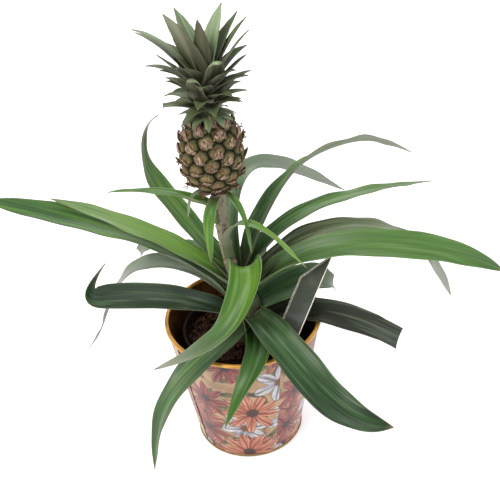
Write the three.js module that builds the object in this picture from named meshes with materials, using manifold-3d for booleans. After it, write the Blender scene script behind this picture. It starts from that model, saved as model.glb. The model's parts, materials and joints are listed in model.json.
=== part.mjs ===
// A potted ornamental pineapple plant, in millimetres with +Z up.
// The origin is the middle of the cover pot's flat underside.
import * as THREE from 'three';
import { mergeVertices } from 'three/addons/utils/BufferGeometryUtils.js';
import { ConvexHull } from 'three/addons/math/ConvexHull.js';
import Module from 'manifold-3d';

const wasm = await Module();
wasm.setup();

// Running gap between pieces that touch on the real plant.
const GAP = 0.32;

// Cover pot: tapered printed sheet metal with a rolled rim and a base bead.
const POT = {
  rimRadius: 70, baseRadius: 50, height: 130, wall: 0.8, floor: 1.2,
  rimBead: 2.2, baseBead: 1.5, sides: 48,
};

// Nursery pot: thin plastic liner that stands on the cover pot's floor, a little off centre.
const LINER = {
  x: -5, y: 0, rimRadius: 50, baseRadius: 36, height: 115, wall: 1.0, floor: 1.2,
  lip: 1.6, sides: 32,
};

// Peat in the liner, with a plain hole for the stem.
const SOIL = { top: 108, mound: 2.0, holeFloor: 78 };

// Stem axis, from the buried stub to the fruit: x, y, z and the radius there.
const STEM = [
  [4, 0, 79, 9], [4, 0, 105, 11], [3, 0, 145, 9.5], [-2, 0.5, 160, 7], [-5.5, 1, 175, 5.6],
  [-9.6, 2, 200, 5.2], [-11.8, 2, 224, 5.2], [-12.2, 1.2, 245, 5.6], [-13.2, 0.3, 263, 6.4],
];
const STEM_SIDES = 12;

// Fruit: a barrel of domed eyes that wind round it by the golden angle.
const FRUIT = {
  x: -15, y: 0, bottom: 261.2, top: 321, radius: 22.2, eyes: 72,
  rise: 2.6, peak: 1.0, share: 0.7, square: 2.5,
};

// Crown: a tuft of leaves that grows out of the fruit's top.
const CROWN = {
  bottom: 321.8, coreHeight: 27, coreRadius: 9.5, coreTip: 5, leaves: 46, spiral: [8, 32],
  collar: 13, collarHeading: 188, thick: 1.0, seed: 11, firstHeading: 212, rootShare: 0.45,
  point: 2.2,
};

// The crown's large leaves, each with its height, heading, slopes, length and width.
const CROWN_LEAVES = [
  { z: 345, head: [46], rise: [80, 68, 58], length: 62, width: 22 },
  { z: 345, head: [140], rise: [78, 66, 56], length: 61.5, width: 22 },
  { z: 342, head: [195], rise: [74, 72, 66], length: 73, width: 22, roll: [0, 45, 50] },
  { z: 347, head: [246], rise: [84, 86, 84], length: 51, width: 18 },
  { z: 343, head: [35], rise: [74, 56, 46], length: 62, width: 17 },
  { z: 342, head: [15], rise: [66, 57, 46], length: 62, width: 13 },
  { z: 338, head: [180], rise: [62, 53, 16], length: 72, width: 17 },
  { z: 336, head: [172], rise: [61, 50, 22], length: 69, width: 16 },
  { z: 338, head: [-15], rise: [62, 57, 46], length: 63, width: 17 },
  { z: 332, head: [192], rise: [60, 52, 44], length: 55, width: 18 },
  { z: 330, head: [183], rise: [60, 46, 2], length: 58, width: 16 },
  { z: 333, head: [300], rise: [60, 70, 68, 56, -30], length: 55, width: 19, point: 4, fold: -25 },
  { z: 328, head: [238], rise: [54, 66, 66, 56, -40], length: 45, width: 17, point: 4, fold: -30 },
  { z: 325, head: [276], rise: [52, 62, 60, 40, -50], length: 27, width: 14, point: 4, fold: -30 },
  { z: 331, head: [162], rise: [48, 35, 10], length: 38, width: 14 },
  { z: 326, head: [160], rise: [36, 22, -25], length: 38, width: 13 },
  { z: 325, head: [184], rise: [28, 16, -8], length: 35, width: 12, point: 8, blunt: 0.6 },
  { z: 334, head: [-5], rise: [58, 48, 40], length: 48, width: 17 },
  { z: 330, head: [0], rise: [56, 38, 18], length: 44, width: 16 },
  { z: 327, head: [20], rise: [50, 36, 24], length: 30, width: 13 },
  { z: 327, head: [-8], rise: [50, 28, 0], length: 36, width: 13 },
  { z: 325, head: [-20], rise: [42, 28, 8], length: 31, width: 13 },
];

// Plant label: a thin plastic tag on a stake pushed into the peat. corner is the lower left
// corner of its face; across and up are the directions of its lower and left edges.
const LABEL = {
  corner: [34, -17, 133], across: [0.65, -0.75, 0.13], up: [0.45, 0.515, 0.73],
  width: 24, leftSide: 41, rightSide: 69, thick: 0.9, stake: 8, stakeLength: 38, slant: -5,
};

const GOLDEN_ANGLE = Math.PI * (3 - Math.sqrt(5));

// Finishes, as colour, roughness and metalness.
const finish = (color, roughness, metalness = 0) =>
  new THREE.MeshStandardMaterial({ color, roughness, metalness });
const FINISH = {
  printedMetal: finish(0xb9714f, 0.35, 0.3),
  liner: finish(0x4a2c26, 0.55),
  soil: finish(0x2b1c17, 0.95),
  stem: finish(0x8b8a6c, 0.7),
  fruit: finish(0x7a6238, 0.65),
  crown: finish(0x5f6d55, 0.6),
  label: finish(0x1d2b26, 0.3),
  leaf: finish(0x3f6437, 0.45),
  youngLeaf: finish(0x6c9240, 0.45),
  greyLeaf: finish(0x8d9188, 0.6),
};

// Rosette leaves and the bracts on the fruit stalk. Each starts inside the stem at height z,
// r0 from its axis. head is the compass heading and rise the slope above level, in degrees, at
// even steps from root to tip; roll turns the blade about its midrib and girth widens or narrows
// it. blunt is the least share of the width at a cut tip. A heading of 0 is +X.
const LEAVES = [
  { name: 'leaf_far_left', z: 128, head: [180, 181, 182], rise: [67, 46, 30, 22, 17],
    roll: [0, 5, -15, -45], length: 247, width: 26, point: 6 },
  { name: 'leaf_left', z: 151, head: [178, 180, 182], rise: [61, 43, 35, 29, 24],
    roll: [0, -15, -30], length: 182, width: 24, point: 2.6 },
  { name: 'leaf_upper_left', z: 158, head: [153, 150, 148], rise: [62, 52, 49, 58, 98, 150],
    length: 186, width: 25, point: 4, girth: [1, 1, 1, 1, 0.45, 0.5] },
  { name: 'leaf_flat_left', z: 123, head: [196, 196, 196, 194, 190],
    rise: [46, 38, 29, 20, 14, 12, 110, 140], roll: [0, -25, -45, -50, -40],
    length: 181, width: 23, point: 5 },
  { name: 'leaf_drooping_left', z: 128, head: [150, 150, 152],
    rise: [64, 13, -25, -51, -62, -68], roll: [0, -10, -20, 0], length: 271, width: 22,
    point: 3, grey: true },
  { name: 'leaf_small_back_left', z: 140, head: [150, 150, 152], rise: [52, 41, 22, -8, -62],
    length: 124, width: 18, point: 8, grey: true },
  { name: 'leaf_front_arch', z: 155, head: [-71, -95, -136, -147, -141],
    rise: [88, 66, -28, -39, -18, 2, 16], length: 178, width: 33, point: 2, young: true },
  { name: 'leaf_front_left', z: 117, head: [-104, -129, -143, -130],
    rise: [43, 8, -18, -66, -80], length: 188, width: 34, point: 1.7 },
  { name: 'leaf_front', z: 126, head: [-66, -88, -128, -152], rise: [30, 6, -14, -46, -62],
    length: 128, width: 24, point: 1.8, young: true },
  { name: 'leaf_front_right', z: 124, head: [-72, -57, -49, -34], rise: [54, -2, -24, -12, 24],
    length: 184, width: 30, point: 6 },
  { name: 'leaf_low_right', z: 113, head: [-7, -9, -14], rise: [50, 13, -8, -22, -30],
    roll: [0, 20, 25], length: 140, width: 27, point: 12, blunt: 0.8 },
  { name: 'leaf_torn_right', z: 124, head: [18, 16, 16], rise: [58, 25, 3, -58],
    roll: [0, 20, 20], length: 90, width: 31, point: 12, blunt: 0.6 },
  { name: 'leaf_right', z: 148, head: [-5, -6, -8], rise: [62, 27, 1, -12, -30],
    roll: [0, 30, 35], length: 238, width: 28, point: 6, girth: [0.8, 0.95, 1, 1],
    young: true },
  { name: 'leaf_arching_right', z: 144, head: [22, 22, 24],
    rise: [70, 36, 4, -15, -32, -51, -60, -64], roll: [0, 0, 0, 0, 40, 60], length: 292,
    width: 26, point: 6 },
  { name: 'leaf_upper_right', z: 160, head: [30, 30, 28], rise: [71, 32, 4, -6, -11, -13],
    roll: [0, 5, 0], length: 236, width: 21, point: 2 },
  { name: 'leaf_tall_right', z: 162, head: [34, 35, 37], rise: [78, 60, 42, 8, -10, -29, -34],
    roll: [0, -15, -42, -46, -42], length: 265, width: 22, point: 3,
    girth: [1, 1.15, 1.05, 0.75, 0.75] },
  { name: 'leaf_back', z: 137, head: [140, 75, 42, 38], rise: [88, 78, 42, -14, -32, -38, -38],
    roll: [0, 0, 40, 60, 60], length: 300, width: 20, point: 3, girth: [0.7, 0.7, 1, 1],
    grey: true },
  { name: 'leaf_low_back', z: 120, head: [84, 82, 80], rise: [36, 12, -14, -40, -60],
    length: 180, width: 25, point: 3 },
  { name: 'leaf_low_back_left', z: 116, head: [118, 120, 124], rise: [48, 20, -4, -26, -40],
    length: 176, width: 25, point: 3 },
  { name: 'leaf_low_back_right', z: 118, head: [52, 54, 58], rise: [44, 16, -10, -34, -50],
    length: 176, width: 24, point: 3 },
  { name: 'leaf_young_right', z: 200, r0: 4, head: [-80, -40, -28, -24, -22],
    rise: [88, 62, -18, -42, -44], length: 112, width: 13.5, point: 2,
    girth: [0.72, 1, 1, 1], young: true },
  { name: 'bract_left', z: 240, head: [186, 184, 180], rise: [34, 19, 2], length: 87,
    width: 15, point: 2, young: true },
  { name: 'bract_front', z: 252, head: [-112, -115, -118], rise: [-20, -80, -86], length: 58,
    width: 12, point: 2, young: true },
  { name: 'bract_right', z: 257, head: [-44, -46, -46], rise: [-5, -52, -76, -88],
    length: 60, width: 7, point: 2, young: true },
  { name: 'bract_small', z: 257, r0: 8, head: [200, 205, 210], rise: [10, -45, -70],
    length: 22, width: 6, point: 2, young: true },
];

// Blade section: thickness at the root and tip, and the fold of the gutter in degrees.
const BLADE = {
  steps: 11, rootThick: 1.9, tipThick: 0.9, rootFold: 38, tipFold: 16, rootShare: 0.8,
  tipWidth: 0.9, start: 6,
};

const radians = THREE.MathUtils.degToRad;

// Smooth value at share s through evenly spaced keys.
function through(keys, s) {
  if (keys.length === 1) return keys[0];
  const spans = keys.length - 1;
  const t = THREE.MathUtils.clamp(s, 0, 1) * spans;
  const i = Math.min(Math.floor(t), spans - 1);
  const u = t - i;
  const p1 = keys[i];
  const p2 = keys[i + 1];
  const p0 = i > 0 ? keys[i - 1] : 2 * p1 - p2;
  const p3 = i + 2 <= spans ? keys[i + 2] : 2 * p2 - p1;
  return 0.5 * (2 * p1 + (p2 - p0) * u + (2 * p0 - 5 * p1 + 4 * p2 - p3) * u * u
    + (3 * p1 - p0 - 3 * p2 + p3) * u ** 3);
}

const ease = (x) => THREE.MathUtils.smoothstep(x, 0, 1);

// Repeatable random numbers from 0 to 1.
function randomSource(seed) {
  let state = seed;
  return () => {
    state = (state * 1664525 + 1013904223) % 4294967296;
    return state / 4294967296;
  };
}

// A closed three.js geometry as a manifold solid, with its shared corners merged.
function solidOf(geometry) {
  const shape = geometry.clone();
  shape.deleteAttribute('normal');
  shape.deleteAttribute('uv');
  const merged = mergeVertices(shape, 1e-4);
  const vertProperties = new Float32Array(merged.attributes.position.array);
  const triVerts = new Uint32Array(merged.index.array);
  return new wasm.Manifold(new wasm.Mesh({ numProp: 3, vertProperties, triVerts }));
}

// A manifold solid as a three.js geometry.
function geometryOf(solid) {
  const mesh = solid.getMesh();
  const geometry = new THREE.BufferGeometry();
  geometry.setAttribute('position', new THREE.BufferAttribute(mesh.vertProperties, 3));
  geometry.setIndex(new THREE.BufferAttribute(mesh.triVerts, 1));
  return geometry;
}

// The largest separate body of a solid, without the scraps that a cut leaves.
function largest(solid) {
  return solid.decompose().reduce((best, piece) => (piece.volume() > best.volume() ? piece : best));
}

// A profile of [radius, height] points turned about the Z axis.
function turned(profile, sides) {
  const points = profile.map(([r, z]) => new THREE.Vector2(r, z));
  return new THREE.LatheGeometry(points, sides).rotateX(Math.PI / 2);
}

// Points of an arc round (r, z), from one angle to another in degrees.
function arc(r, z, radius, from, to, count) {
  return Array.from({ length: count }, (_, i) => {
    const a = radians(from + ((to - from) * i) / (count - 1));
    return [r + radius * Math.cos(a), z + radius * Math.sin(a)];
  });
}

function named(name, geometry, material) {
  const mesh = new THREE.Mesh(geometry, material);
  mesh.name = name;
  return mesh;
}

// Cover pot: underside, base bead, tapered wall, rolled rim, inner wall and floor.
function coverPot() {
  const { rimRadius, baseRadius, height, wall, floor, rimBead, baseBead, sides } = POT;
  const rimCentre = [rimRadius - rimBead, height - rimBead];
  const baseWall = baseRadius - baseBead * 0.7;
  const profile = [
    [0, 0],
    ...arc(baseRadius - baseBead, baseBead, baseBead, -90, 60, 4),
    [baseWall, 2.6 * baseBead],
    ...arc(...rimCentre, rimBead, -70, 210, 8),
    [baseWall - wall, floor],
    [0, floor],
  ];
  return named('cover_pot', turned(profile, sides), FINISH.printedMetal);
}

// Nursery pot: floor, tapered wall and a turned-out lip.
function nurseryPot() {
  const { rimRadius, baseRadius, height, wall, floor, lip, sides } = LINER;
  const profile = [
    [0, 0], [baseRadius, 0], [rimRadius - lip, height - 2 * lip], [rimRadius, height - 2 * lip],
    [rimRadius, height], [rimRadius - lip - wall, height], [baseRadius - wall, floor], [0, floor],
  ];
  const pot = named('nursery_pot', turned(profile, sides), FINISH.liner);
  pot.position.set(LINER.x, LINER.y, POT.floor + GAP);
  return pot;
}

// Inside radius of the nursery pot at a height above the ground.
function linerInside(z) {
  const { rimRadius, baseRadius, height, wall, floor, lip } = LINER;
  const share = (z - POT.floor - GAP - floor) / (height - floor);
  return baseRadius - wall + (rimRadius - lip - baseRadius) * share;
}

// Ring of corners round the stem axis at one of its stations.
function stemRing([x, y, z, radius], extra) {
  return Array.from({ length: STEM_SIDES }, (_, i) => {
    const a = (2 * Math.PI * i) / STEM_SIDES;
    return [x + (radius + extra) * Math.cos(a), y + (radius + extra) * Math.sin(a), z];
  });
}

// Closed skin over a list of rings with equal counts, capped by fans.
function skin(rings) {
  const count = rings[0].length;
  const positions = rings.flat(2);
  const index = [];
  for (let r = 0; r + 1 < rings.length; r += 1) {
    for (let i = 0; i < count; i += 1) {
      const a = r * count + i;
      const b = r * count + ((i + 1) % count);
      index.push(a, b, b + count, a, b + count, a + count);
    }
  }
  const top = (rings.length - 1) * count;
  for (let i = 1; i + 1 < count; i += 1) {
    index.push(0, i + 1, i, top, top + i, top + i + 1);
  }
  const geometry = new THREE.BufferGeometry();
  geometry.setAttribute('position', new THREE.Float32BufferAttribute(positions, 3));
  geometry.setIndex(index);
  return geometry;
}

// Stem and fruit stalk, as one tapering trunk. extra makes the clear space round it.
function stemGeometry(extra = 0) {
  const stations = STEM.map((station) => [...station]);
  stations[0][2] -= extra;
  stations.at(-1)[2] += extra;
  return skin(stations.map((station) => stemRing(station, extra)));
}

// Peat: a slightly mounded plug that fills the liner, less the hole for the stem.
function soil() {
  const bottom = LINER.floor + POT.floor + 2 * GAP;
  const edge = linerInside(SOIL.top) - GAP;
  const profile = [
    [0, bottom], [linerInside(bottom) - GAP, bottom], [edge, SOIL.top],
    [edge * 0.5, SOIL.top + SOIL.mound * 0.8], [0, SOIL.top + SOIL.mound],
  ];
  const plug = turned(profile, LINER.sides).translate(LINER.x, LINER.y, 0);
  const [x, y, , radius] = STEM[1];
  const hole = new THREE.CylinderGeometry(radius + GAP, radius + GAP, 60, 16)
    .rotateX(Math.PI / 2).translate(x, y, SOIL.holeFloor + 30);
  const slot = solidOf(labelGeometry(GAP));
  const bed = solidOf(plug).subtract(solidOf(hole)).subtract(slot);
  return named('soil', geometryOf(bed), FINISH.soil);
}

// Point on the stem axis at height z.
function stemAt(z) {
  const k = Math.max(1, STEM.findIndex((station) => station[2] >= z));
  const [a, b] = [STEM[k - 1], STEM[k]];
  const u = (z - a[2]) / (b[2] - a[2]);
  return new THREE.Vector3(a[0] + (b[0] - a[0]) * u, a[1] + (b[1] - a[1]) * u, z);
}

// Direction along a blade and the directions across it and out of its upper face.
function bladeFrame(leaf, s) {
  const heading = radians(through(leaf.head, s));
  const slope = radians(through(leaf.rise, s));
  const roll = radians(through(leaf.roll ?? [0], s));
  const along = new THREE.Vector3(
    Math.cos(slope) * Math.cos(heading), Math.cos(slope) * Math.sin(heading), Math.sin(slope));
  const level = new THREE.Vector3(-Math.sin(heading), Math.cos(heading), 0);
  const up = new THREE.Vector3().crossVectors(along, level);
  const across = level.clone().multiplyScalar(Math.cos(roll)).addScaledVector(up, Math.sin(roll));
  const face = up.clone().multiplyScalar(Math.cos(roll)).addScaledVector(level, -Math.sin(roll));
  return { along, across, face };
}

// Blade width at share s: broad soon after the root, then drawn out to a point.
function bladeWidth(leaf, s) {
  const share = leaf.rootShare ?? BLADE.rootShare;
  const root = share + (1 - share) * ease(s / 0.3);
  const taper = Math.max(leaf.blunt ?? 0, 1 - s ** leaf.point) ** 0.85;
  return Math.max(BLADE.tipWidth, leaf.width * root * taper * through(leaf.girth ?? [1], s));
}

// A blade as a folded band: three corners on its upper face and three below at every step.
function bladeGeometry(leaf, root, steps, thickness, extra = 0) {
  const fine = 6;
  const point = root.clone();
  const rings = [];
  for (let i = 0; i <= steps * fine; i += 1) {
    const s = i / (steps * fine);
    const { along, across, face } = bladeFrame(leaf, s);
    if (i % fine === 0) {
      const half = bladeWidth(leaf, s) / 2 + extra;
      const gain = (leaf.fold ?? BLADE.tipFold) - BLADE.rootFold;
      const fold = radians(BLADE.rootFold + gain * ease(s / 0.6));
      const lift = thickness(s) / 2 + extra;
      const corner = (side, up) => point.clone()
        .addScaledVector(across, side * half * Math.cos(fold))
        .addScaledVector(face, Math.abs(side) * half * Math.sin(fold) + up * lift).toArray();
      rings.push([corner(1, 1), corner(0, 1), corner(-1, 1),
        corner(-1, -1), corner(0, -1), corner(1, -1)]);
    }
    const next = bladeFrame(leaf, Math.min(1, s + 1 / (steps * fine))).along;
    const stride = along.clone().add(next).normalize();
    point.addScaledVector(stride, leaf.length / (steps * fine));
  }
  return bandSkin(rings);
}

// Closed skin over blade rings, with both faces split into triangles alike.
function bandSkin(rings) {
  const positions = rings.flat(2);
  const index = [];
  const quad = (a, b, c, d, straight) => {
    if (straight) index.push(a, b, c, a, c, d);
    else index.push(a, b, d, b, c, d);
  };
  for (let r = 0; r + 1 < rings.length; r += 1) {
    const [p, q] = [r * 6, r * 6 + 6];
    for (let i = 0; i < 6; i += 1) {
      const j = (i + 1) % 6;
      quad(p + i, p + j, q + j, q + i, i < 3);
    }
  }
  const end = (rings.length - 1) * 6;
  const cap = [[0, 4, 1], [0, 5, 4], [1, 3, 2], [1, 4, 3]];
  cap.forEach(([a, b, c]) => {
    index.push(a, b, c, end + a, end + c, end + b);
  });
  const geometry = new THREE.BufferGeometry();
  geometry.setAttribute('position', new THREE.Float32BufferAttribute(positions, 3));
  geometry.setIndex(index);
  return geometry;
}

function leafMaterial(leaf) {
  if (leaf.young) return FINISH.youngLeaf;
  return leaf.grey ? FINISH.greyLeaf : FINISH.leaf;
}

// All blades. The inner ones are whole, and each outer one stops short of those inside it.
function leafMeshes(blocked) {
  const thickness = (s) => BLADE.rootThick + (BLADE.tipThick - BLADE.rootThick) * ease(s / 0.5);
  const spaces = [...blocked];
  const order = [...LEAVES].sort((a, b) => b.z - a.z);
  return order.map((leaf) => {
    const heading = radians(leaf.head[0]);
    const root = stemAt(leaf.z).add(new THREE.Vector3(Math.cos(heading), Math.sin(heading), 0)
      .multiplyScalar(leaf.r0 ?? BLADE.start));
    const whole = solidOf(bladeGeometry(leaf, root, BLADE.steps, thickness));
    const trimmed = spaces.reduce((blade, space) => blade.subtract(space), whole);
    spaces.push(solidOf(bladeGeometry(leaf, root, BLADE.steps, thickness, GAP)));
    return named(leaf.name, geometryOf(largest(trimmed)), leafMaterial(leaf));
  });
}

// Point on the fruit's barrel for a direction on the unit sphere, raised by lift.
function onBarrel(direction, lift) {
  const middle = (FRUIT.top + FRUIT.bottom) / 2;
  const half = (FRUIT.top - FRUIT.bottom) / 2;
  const power = (value) => Math.abs(value) ** FRUIT.square;
  const level = Math.hypot(direction.x, direction.y);
  const scale = (power(level) + power(direction.z)) ** (-1 / FRUIT.square);
  const out = new THREE.Vector3(direction.x, direction.y, direction.z).multiplyScalar(scale);
  return new THREE.Vector3(
    FRUIT.x + out.x * (FRUIT.radius + lift),
    FRUIT.y + out.y * (FRUIT.radius + lift),
    middle + out.z * (half + Math.min(lift, 0.4)),
  );
}

// Fruit: every eye is a raised domed plate, and three plates meet in each groove corner.
function fruitGeometry() {
  const centres = Array.from({ length: FRUIT.eyes }, (_, i) => {
    const z = 1 - (2 * i + 1) / FRUIT.eyes;
    const level = Math.sqrt(1 - z * z);
    return new THREE.Vector3(
      level * Math.cos(i * GOLDEN_ANGLE), level * Math.sin(i * GOLDEN_ANGLE), z);
  });
  const around = centres.map(() => []);
  new ConvexHull().setFromPoints(centres).faces.forEach((face) => {
    const corners = [face.edge, face.edge.next, face.edge.prev].map((edge) => edge.head().point);
    const groove = corners.reduce((sum, c) => sum.clone().add(c), new THREE.Vector3()).normalize();
    corners.forEach((corner) => around[centres.indexOf(corner)].push(groove));
  });
  const triangles = [];
  centres.forEach((centre, eye) => {
    const east = new THREE.Vector3(0, 0, 1).cross(centre).normalize();
    const north = new THREE.Vector3().crossVectors(centre, east);
    const angle = (p) => Math.atan2(p.dot(north), p.dot(east));
    const grooves = around[eye].sort((a, b) => angle(a) - angle(b));
    const peak = onBarrel(centre, FRUIT.rise + FRUIT.peak);
    const shoulder = grooves.map((groove) =>
      onBarrel(centre.clone().lerp(groove, FRUIT.share).normalize(), FRUIT.rise));
    const floor = grooves.map((groove) => onBarrel(groove, 0));
    grooves.forEach((_, k) => {
      const n = (k + 1) % grooves.length;
      triangles.push(peak, shoulder[k], shoulder[n]);
      triangles.push(shoulder[k], floor[k], floor[n], shoulder[k], floor[n], shoulder[n]);
    });
  });
  return new THREE.BufferGeometry().setFromPoints(triangles);
}

// Crown leaf by its place in the spiral: short and curling below, broad and upright on top.
function spiralLeaf(i, random) {
  const t = i / (CROWN.leaves - 1);
  const spin = THREE.MathUtils.radToDeg(i * GOLDEN_ANGLE) + CROWN.firstHeading
    + 14 * (random() - 0.5);
  const rootRise = through([24, 40, 54, 64, 74, 84], t) + 8 * (random() - 0.5);
  const tipRise = through([-50, -30, -4, 12, 32, 66], t) + 12 * (random() - 0.5);
  return {
    z: CROWN.bottom + 0.5 + (CROWN.coreHeight - 2.5) * t ** 1.3,
    head: [spin],
    rise: [rootRise, (rootRise * 1.5 + tipRise) / 2.5, tipRise],
    length: through([26, 29, 36, 48, 58, 60], t) * (0.92 + 0.14 * random()),
    width: through([12, 15, 18, 19, 18], t),
    steps: 3,
  };
}

// Short leaf of the collar that droops over the fruit's shoulder.
function collarLeaf(i, random) {
  return {
    z: CROWN.bottom + 1,
    head: [CROWN.collarHeading + (360 / CROWN.collar) * i + 10 * (random() - 0.5)],
    rise: [18, 2 - 14 * random(), -10 - 36 * random()],
    length: 19.5 + 8.5 * random(),
    width: 11.5,
    steps: 3,
  };
}

// Crown: the leaves are fused to a slim core, and kept clear of the fruit's shoulder.
function crown(fruitSpace) {
  const random = randomSource(CROWN.seed);
  const core = turned([
    [0, 0], [CROWN.coreRadius, 0], [CROWN.coreRadius * 0.8, CROWN.coreHeight * 0.5],
    [CROWN.coreTip, CROWN.coreHeight], [0, CROWN.coreHeight],
  ], 8).translate(FRUIT.x, FRUIT.y, CROWN.bottom);
  const [first, end] = CROWN.spiral;
  const spiral = Array.from({ length: end - first }, (_, k) => spiralLeaf(first + k, random));
  const collar = Array.from({ length: CROWN.collar }, (_, i) => collarLeaf(i, random));
  const leaves = [...spiral, ...collar, ...CROWN_LEAVES].map((leaf) => {
    const shape = { point: CROWN.point, rootShare: CROWN.rootShare, ...leaf };
    const steps = leaf.steps ?? (leaf.length < 50 && !leaf.fold ? 3 : 4);
    const root = new THREE.Vector3(FRUIT.x, FRUIT.y, leaf.z);
    return solidOf(bladeGeometry(shape, root, steps, () => CROWN.thick));
  });
  const whole = wasm.Manifold.union([solidOf(core), ...leaves]).subtract(fruitSpace);
  return named('crown', geometryOf(largest(whole)), FINISH.crown);
}

// Fruit, with a shallow socket for the top of its stalk.
function fruit(stemSpace) {
  const whole = solidOf(fruitGeometry()).subtract(stemSpace);
  return named('fruit', geometryOf(largest(whole)), FINISH.fruit);
}

// Smooth envelope just clear of the fruit's eyes, which the crown's lowest leaves rest round.
function fruitEnvelope() {
  const clear = FRUIT.rise + FRUIT.peak + GAP;
  const profile = Array.from({ length: 13 }, (_, i) => {
    const a = -Math.PI / 2 + (Math.PI * i) / 12;
    const p = onBarrel(new THREE.Vector3(Math.cos(a), 0, Math.sin(a)), clear);
    return [i % 12 === 0 ? 0 : p.x - FRUIT.x, p.z];
  });
  return turned(profile, 24).translate(FRUIT.x, FRUIT.y, 0);
}

// Plant label: a tag with a slanted head over a pointed stake. extra widens it all round.
function labelGeometry(extra = 0) {
  const { width, leftSide, rightSide, thick, stake, stakeLength, slant } = LABEL;
  const outline = new THREE.Shape([
    new THREE.Vector2(slant - extra, 7 - stakeLength),
    new THREE.Vector2(slant + 3, -stakeLength - extra),
    new THREE.Vector2(slant + stake + extra, 6 - stakeLength), new THREE.Vector2(stake, -6),
    new THREE.Vector2(width, -3), new THREE.Vector2(width, rightSide),
    new THREE.Vector2(0, leftSide), new THREE.Vector2(0, -4),
  ]);
  const across = new THREE.Vector3(...LABEL.across).normalize();
  const upward = new THREE.Vector3(...LABEL.up).normalize();
  const out = new THREE.Vector3().crossVectors(across, upward).normalize();
  const place = new THREE.Matrix4().makeBasis(across, upward, out)
    .setPosition(...LABEL.corner);
  return new THREE.ExtrudeGeometry(outline, { depth: thick + 2 * extra, bevelEnabled: false })
    .translate(0, 0, -extra).applyMatrix4(place);
}

const plant = new THREE.Group();
const stemSpace = solidOf(stemGeometry(GAP));
const fruitSpace = solidOf(fruitEnvelope());
const labelSpace = solidOf(labelGeometry(GAP));
plant.add(
  coverPot(),
  nurseryPot(),
  soil(),
  named('stem', stemGeometry(), FINISH.stem),
  fruit(stemSpace),
  crown(fruitSpace),
  named('label', labelGeometry(), FINISH.label),
  ...leafMeshes([stemSpace, fruitSpace, labelSpace]),
);

export default plant;
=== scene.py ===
"""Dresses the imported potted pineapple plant: pot, peat, stem, fruit, crown, leaves and label.

Every length is in metres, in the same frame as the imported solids, with +Z up.
"""

from __future__ import annotations

import json
import logging
import math
from collections.abc import Callable, Mapping, Sequence
from dataclasses import dataclass, field, replace
from enum import Enum
from functools import partial
from typing import Any

import bmesh
import bpy
import numpy as np
from bpy.types import ID, Material, Node, NodeSocket, NodeTree, Object
from mathutils import Matrix, Vector, noise

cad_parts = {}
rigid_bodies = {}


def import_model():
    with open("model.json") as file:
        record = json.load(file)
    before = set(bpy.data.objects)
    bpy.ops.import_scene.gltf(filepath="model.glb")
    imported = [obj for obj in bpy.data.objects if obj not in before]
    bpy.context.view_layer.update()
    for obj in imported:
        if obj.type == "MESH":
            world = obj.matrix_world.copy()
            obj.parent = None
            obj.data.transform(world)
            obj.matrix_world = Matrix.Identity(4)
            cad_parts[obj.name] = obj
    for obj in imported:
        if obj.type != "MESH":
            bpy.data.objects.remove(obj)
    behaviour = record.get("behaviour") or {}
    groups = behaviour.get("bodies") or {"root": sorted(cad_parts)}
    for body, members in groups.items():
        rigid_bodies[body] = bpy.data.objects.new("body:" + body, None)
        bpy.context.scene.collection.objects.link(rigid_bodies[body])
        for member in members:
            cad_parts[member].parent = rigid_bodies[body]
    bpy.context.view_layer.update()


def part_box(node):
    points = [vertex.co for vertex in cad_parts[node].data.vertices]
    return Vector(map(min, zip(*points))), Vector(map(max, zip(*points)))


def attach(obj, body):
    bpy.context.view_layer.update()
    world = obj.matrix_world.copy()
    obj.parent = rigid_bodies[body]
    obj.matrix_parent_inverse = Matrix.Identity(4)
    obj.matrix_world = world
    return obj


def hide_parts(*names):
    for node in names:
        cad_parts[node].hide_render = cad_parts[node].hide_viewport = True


LOG = logging.getLogger("pineapple")
BODY = "root"
SHEET = "sheet"
UP = np.array([0.0, 0.0, 1.0])
GOLDEN_ANGLE = math.pi * (3.0 - math.sqrt(5.0))
# A turned skin ends in a flat face of this radius on its axis.
HUB = 0.0005
# The kinds of node that are used most. SPREAD takes a value, its range and the new range.
MATH = "ShaderNodeMath"
VECTOR_MATH = "ShaderNodeVectorMath"
NOISE = "ShaderNodeTexNoise"
MIX = "ShaderNodeMix"
SPREAD = "ShaderNodeMapRange"
RAMP = "ShaderNodeValToRGB"
VALUE = "ShaderNodeAttribute"
RANDOM = "FunctionNodeRandomValue"


class Slot(Enum):
    """The record's material slots."""

    PRINTED_METAL = "printed_metal"
    LINER = "liner_plastic"
    PEAT = "peat"
    STALK = "stalk"
    FRUIT = "fruit_skin"
    CROWN = "crown_leaf"
    LEAF = "leaf"
    YOUNG_LEAF = "young_leaf"
    GREY_LEAF = "grey_leaf"
    LABEL = "label_plastic"


class Tone(Enum):
    """How a rosette leaf is coloured: young, grown, scaly grey and dull olive."""

    MATURE = "mature"
    YOUNG = "young"
    GREY = "grey"
    DULL = "dull"


def linear(code: str) -> tuple[float, float, float, float]:
    """Turns an sRGB hex colour into the linear values that a shader takes.

    Args:
        code: The colour, such as "#8fae4c".

    Returns:
        Red, green, blue and an alpha of 1.
    """
    parts = [int(code[i : i + 2], 16) / 255 for i in (1, 3, 5)]
    return (*[p / 12.92 if p <= 0.04045 else ((p + 0.055) / 1.055) ** 2.4 for p in parts], 1.0)


def ease(value: np.ndarray | float) -> np.ndarray:
    """Rises smoothly from 0 to 1 as the value does."""
    t = np.clip(value, 0.0, 1.0)
    return t * t * (3 - 2 * t)


def passing(first: float, last: float, value: np.ndarray) -> np.ndarray:
    """Passes smoothly from first to last as the value rises from 0 to 1."""
    return first + (last - first) * ease(value)


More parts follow.
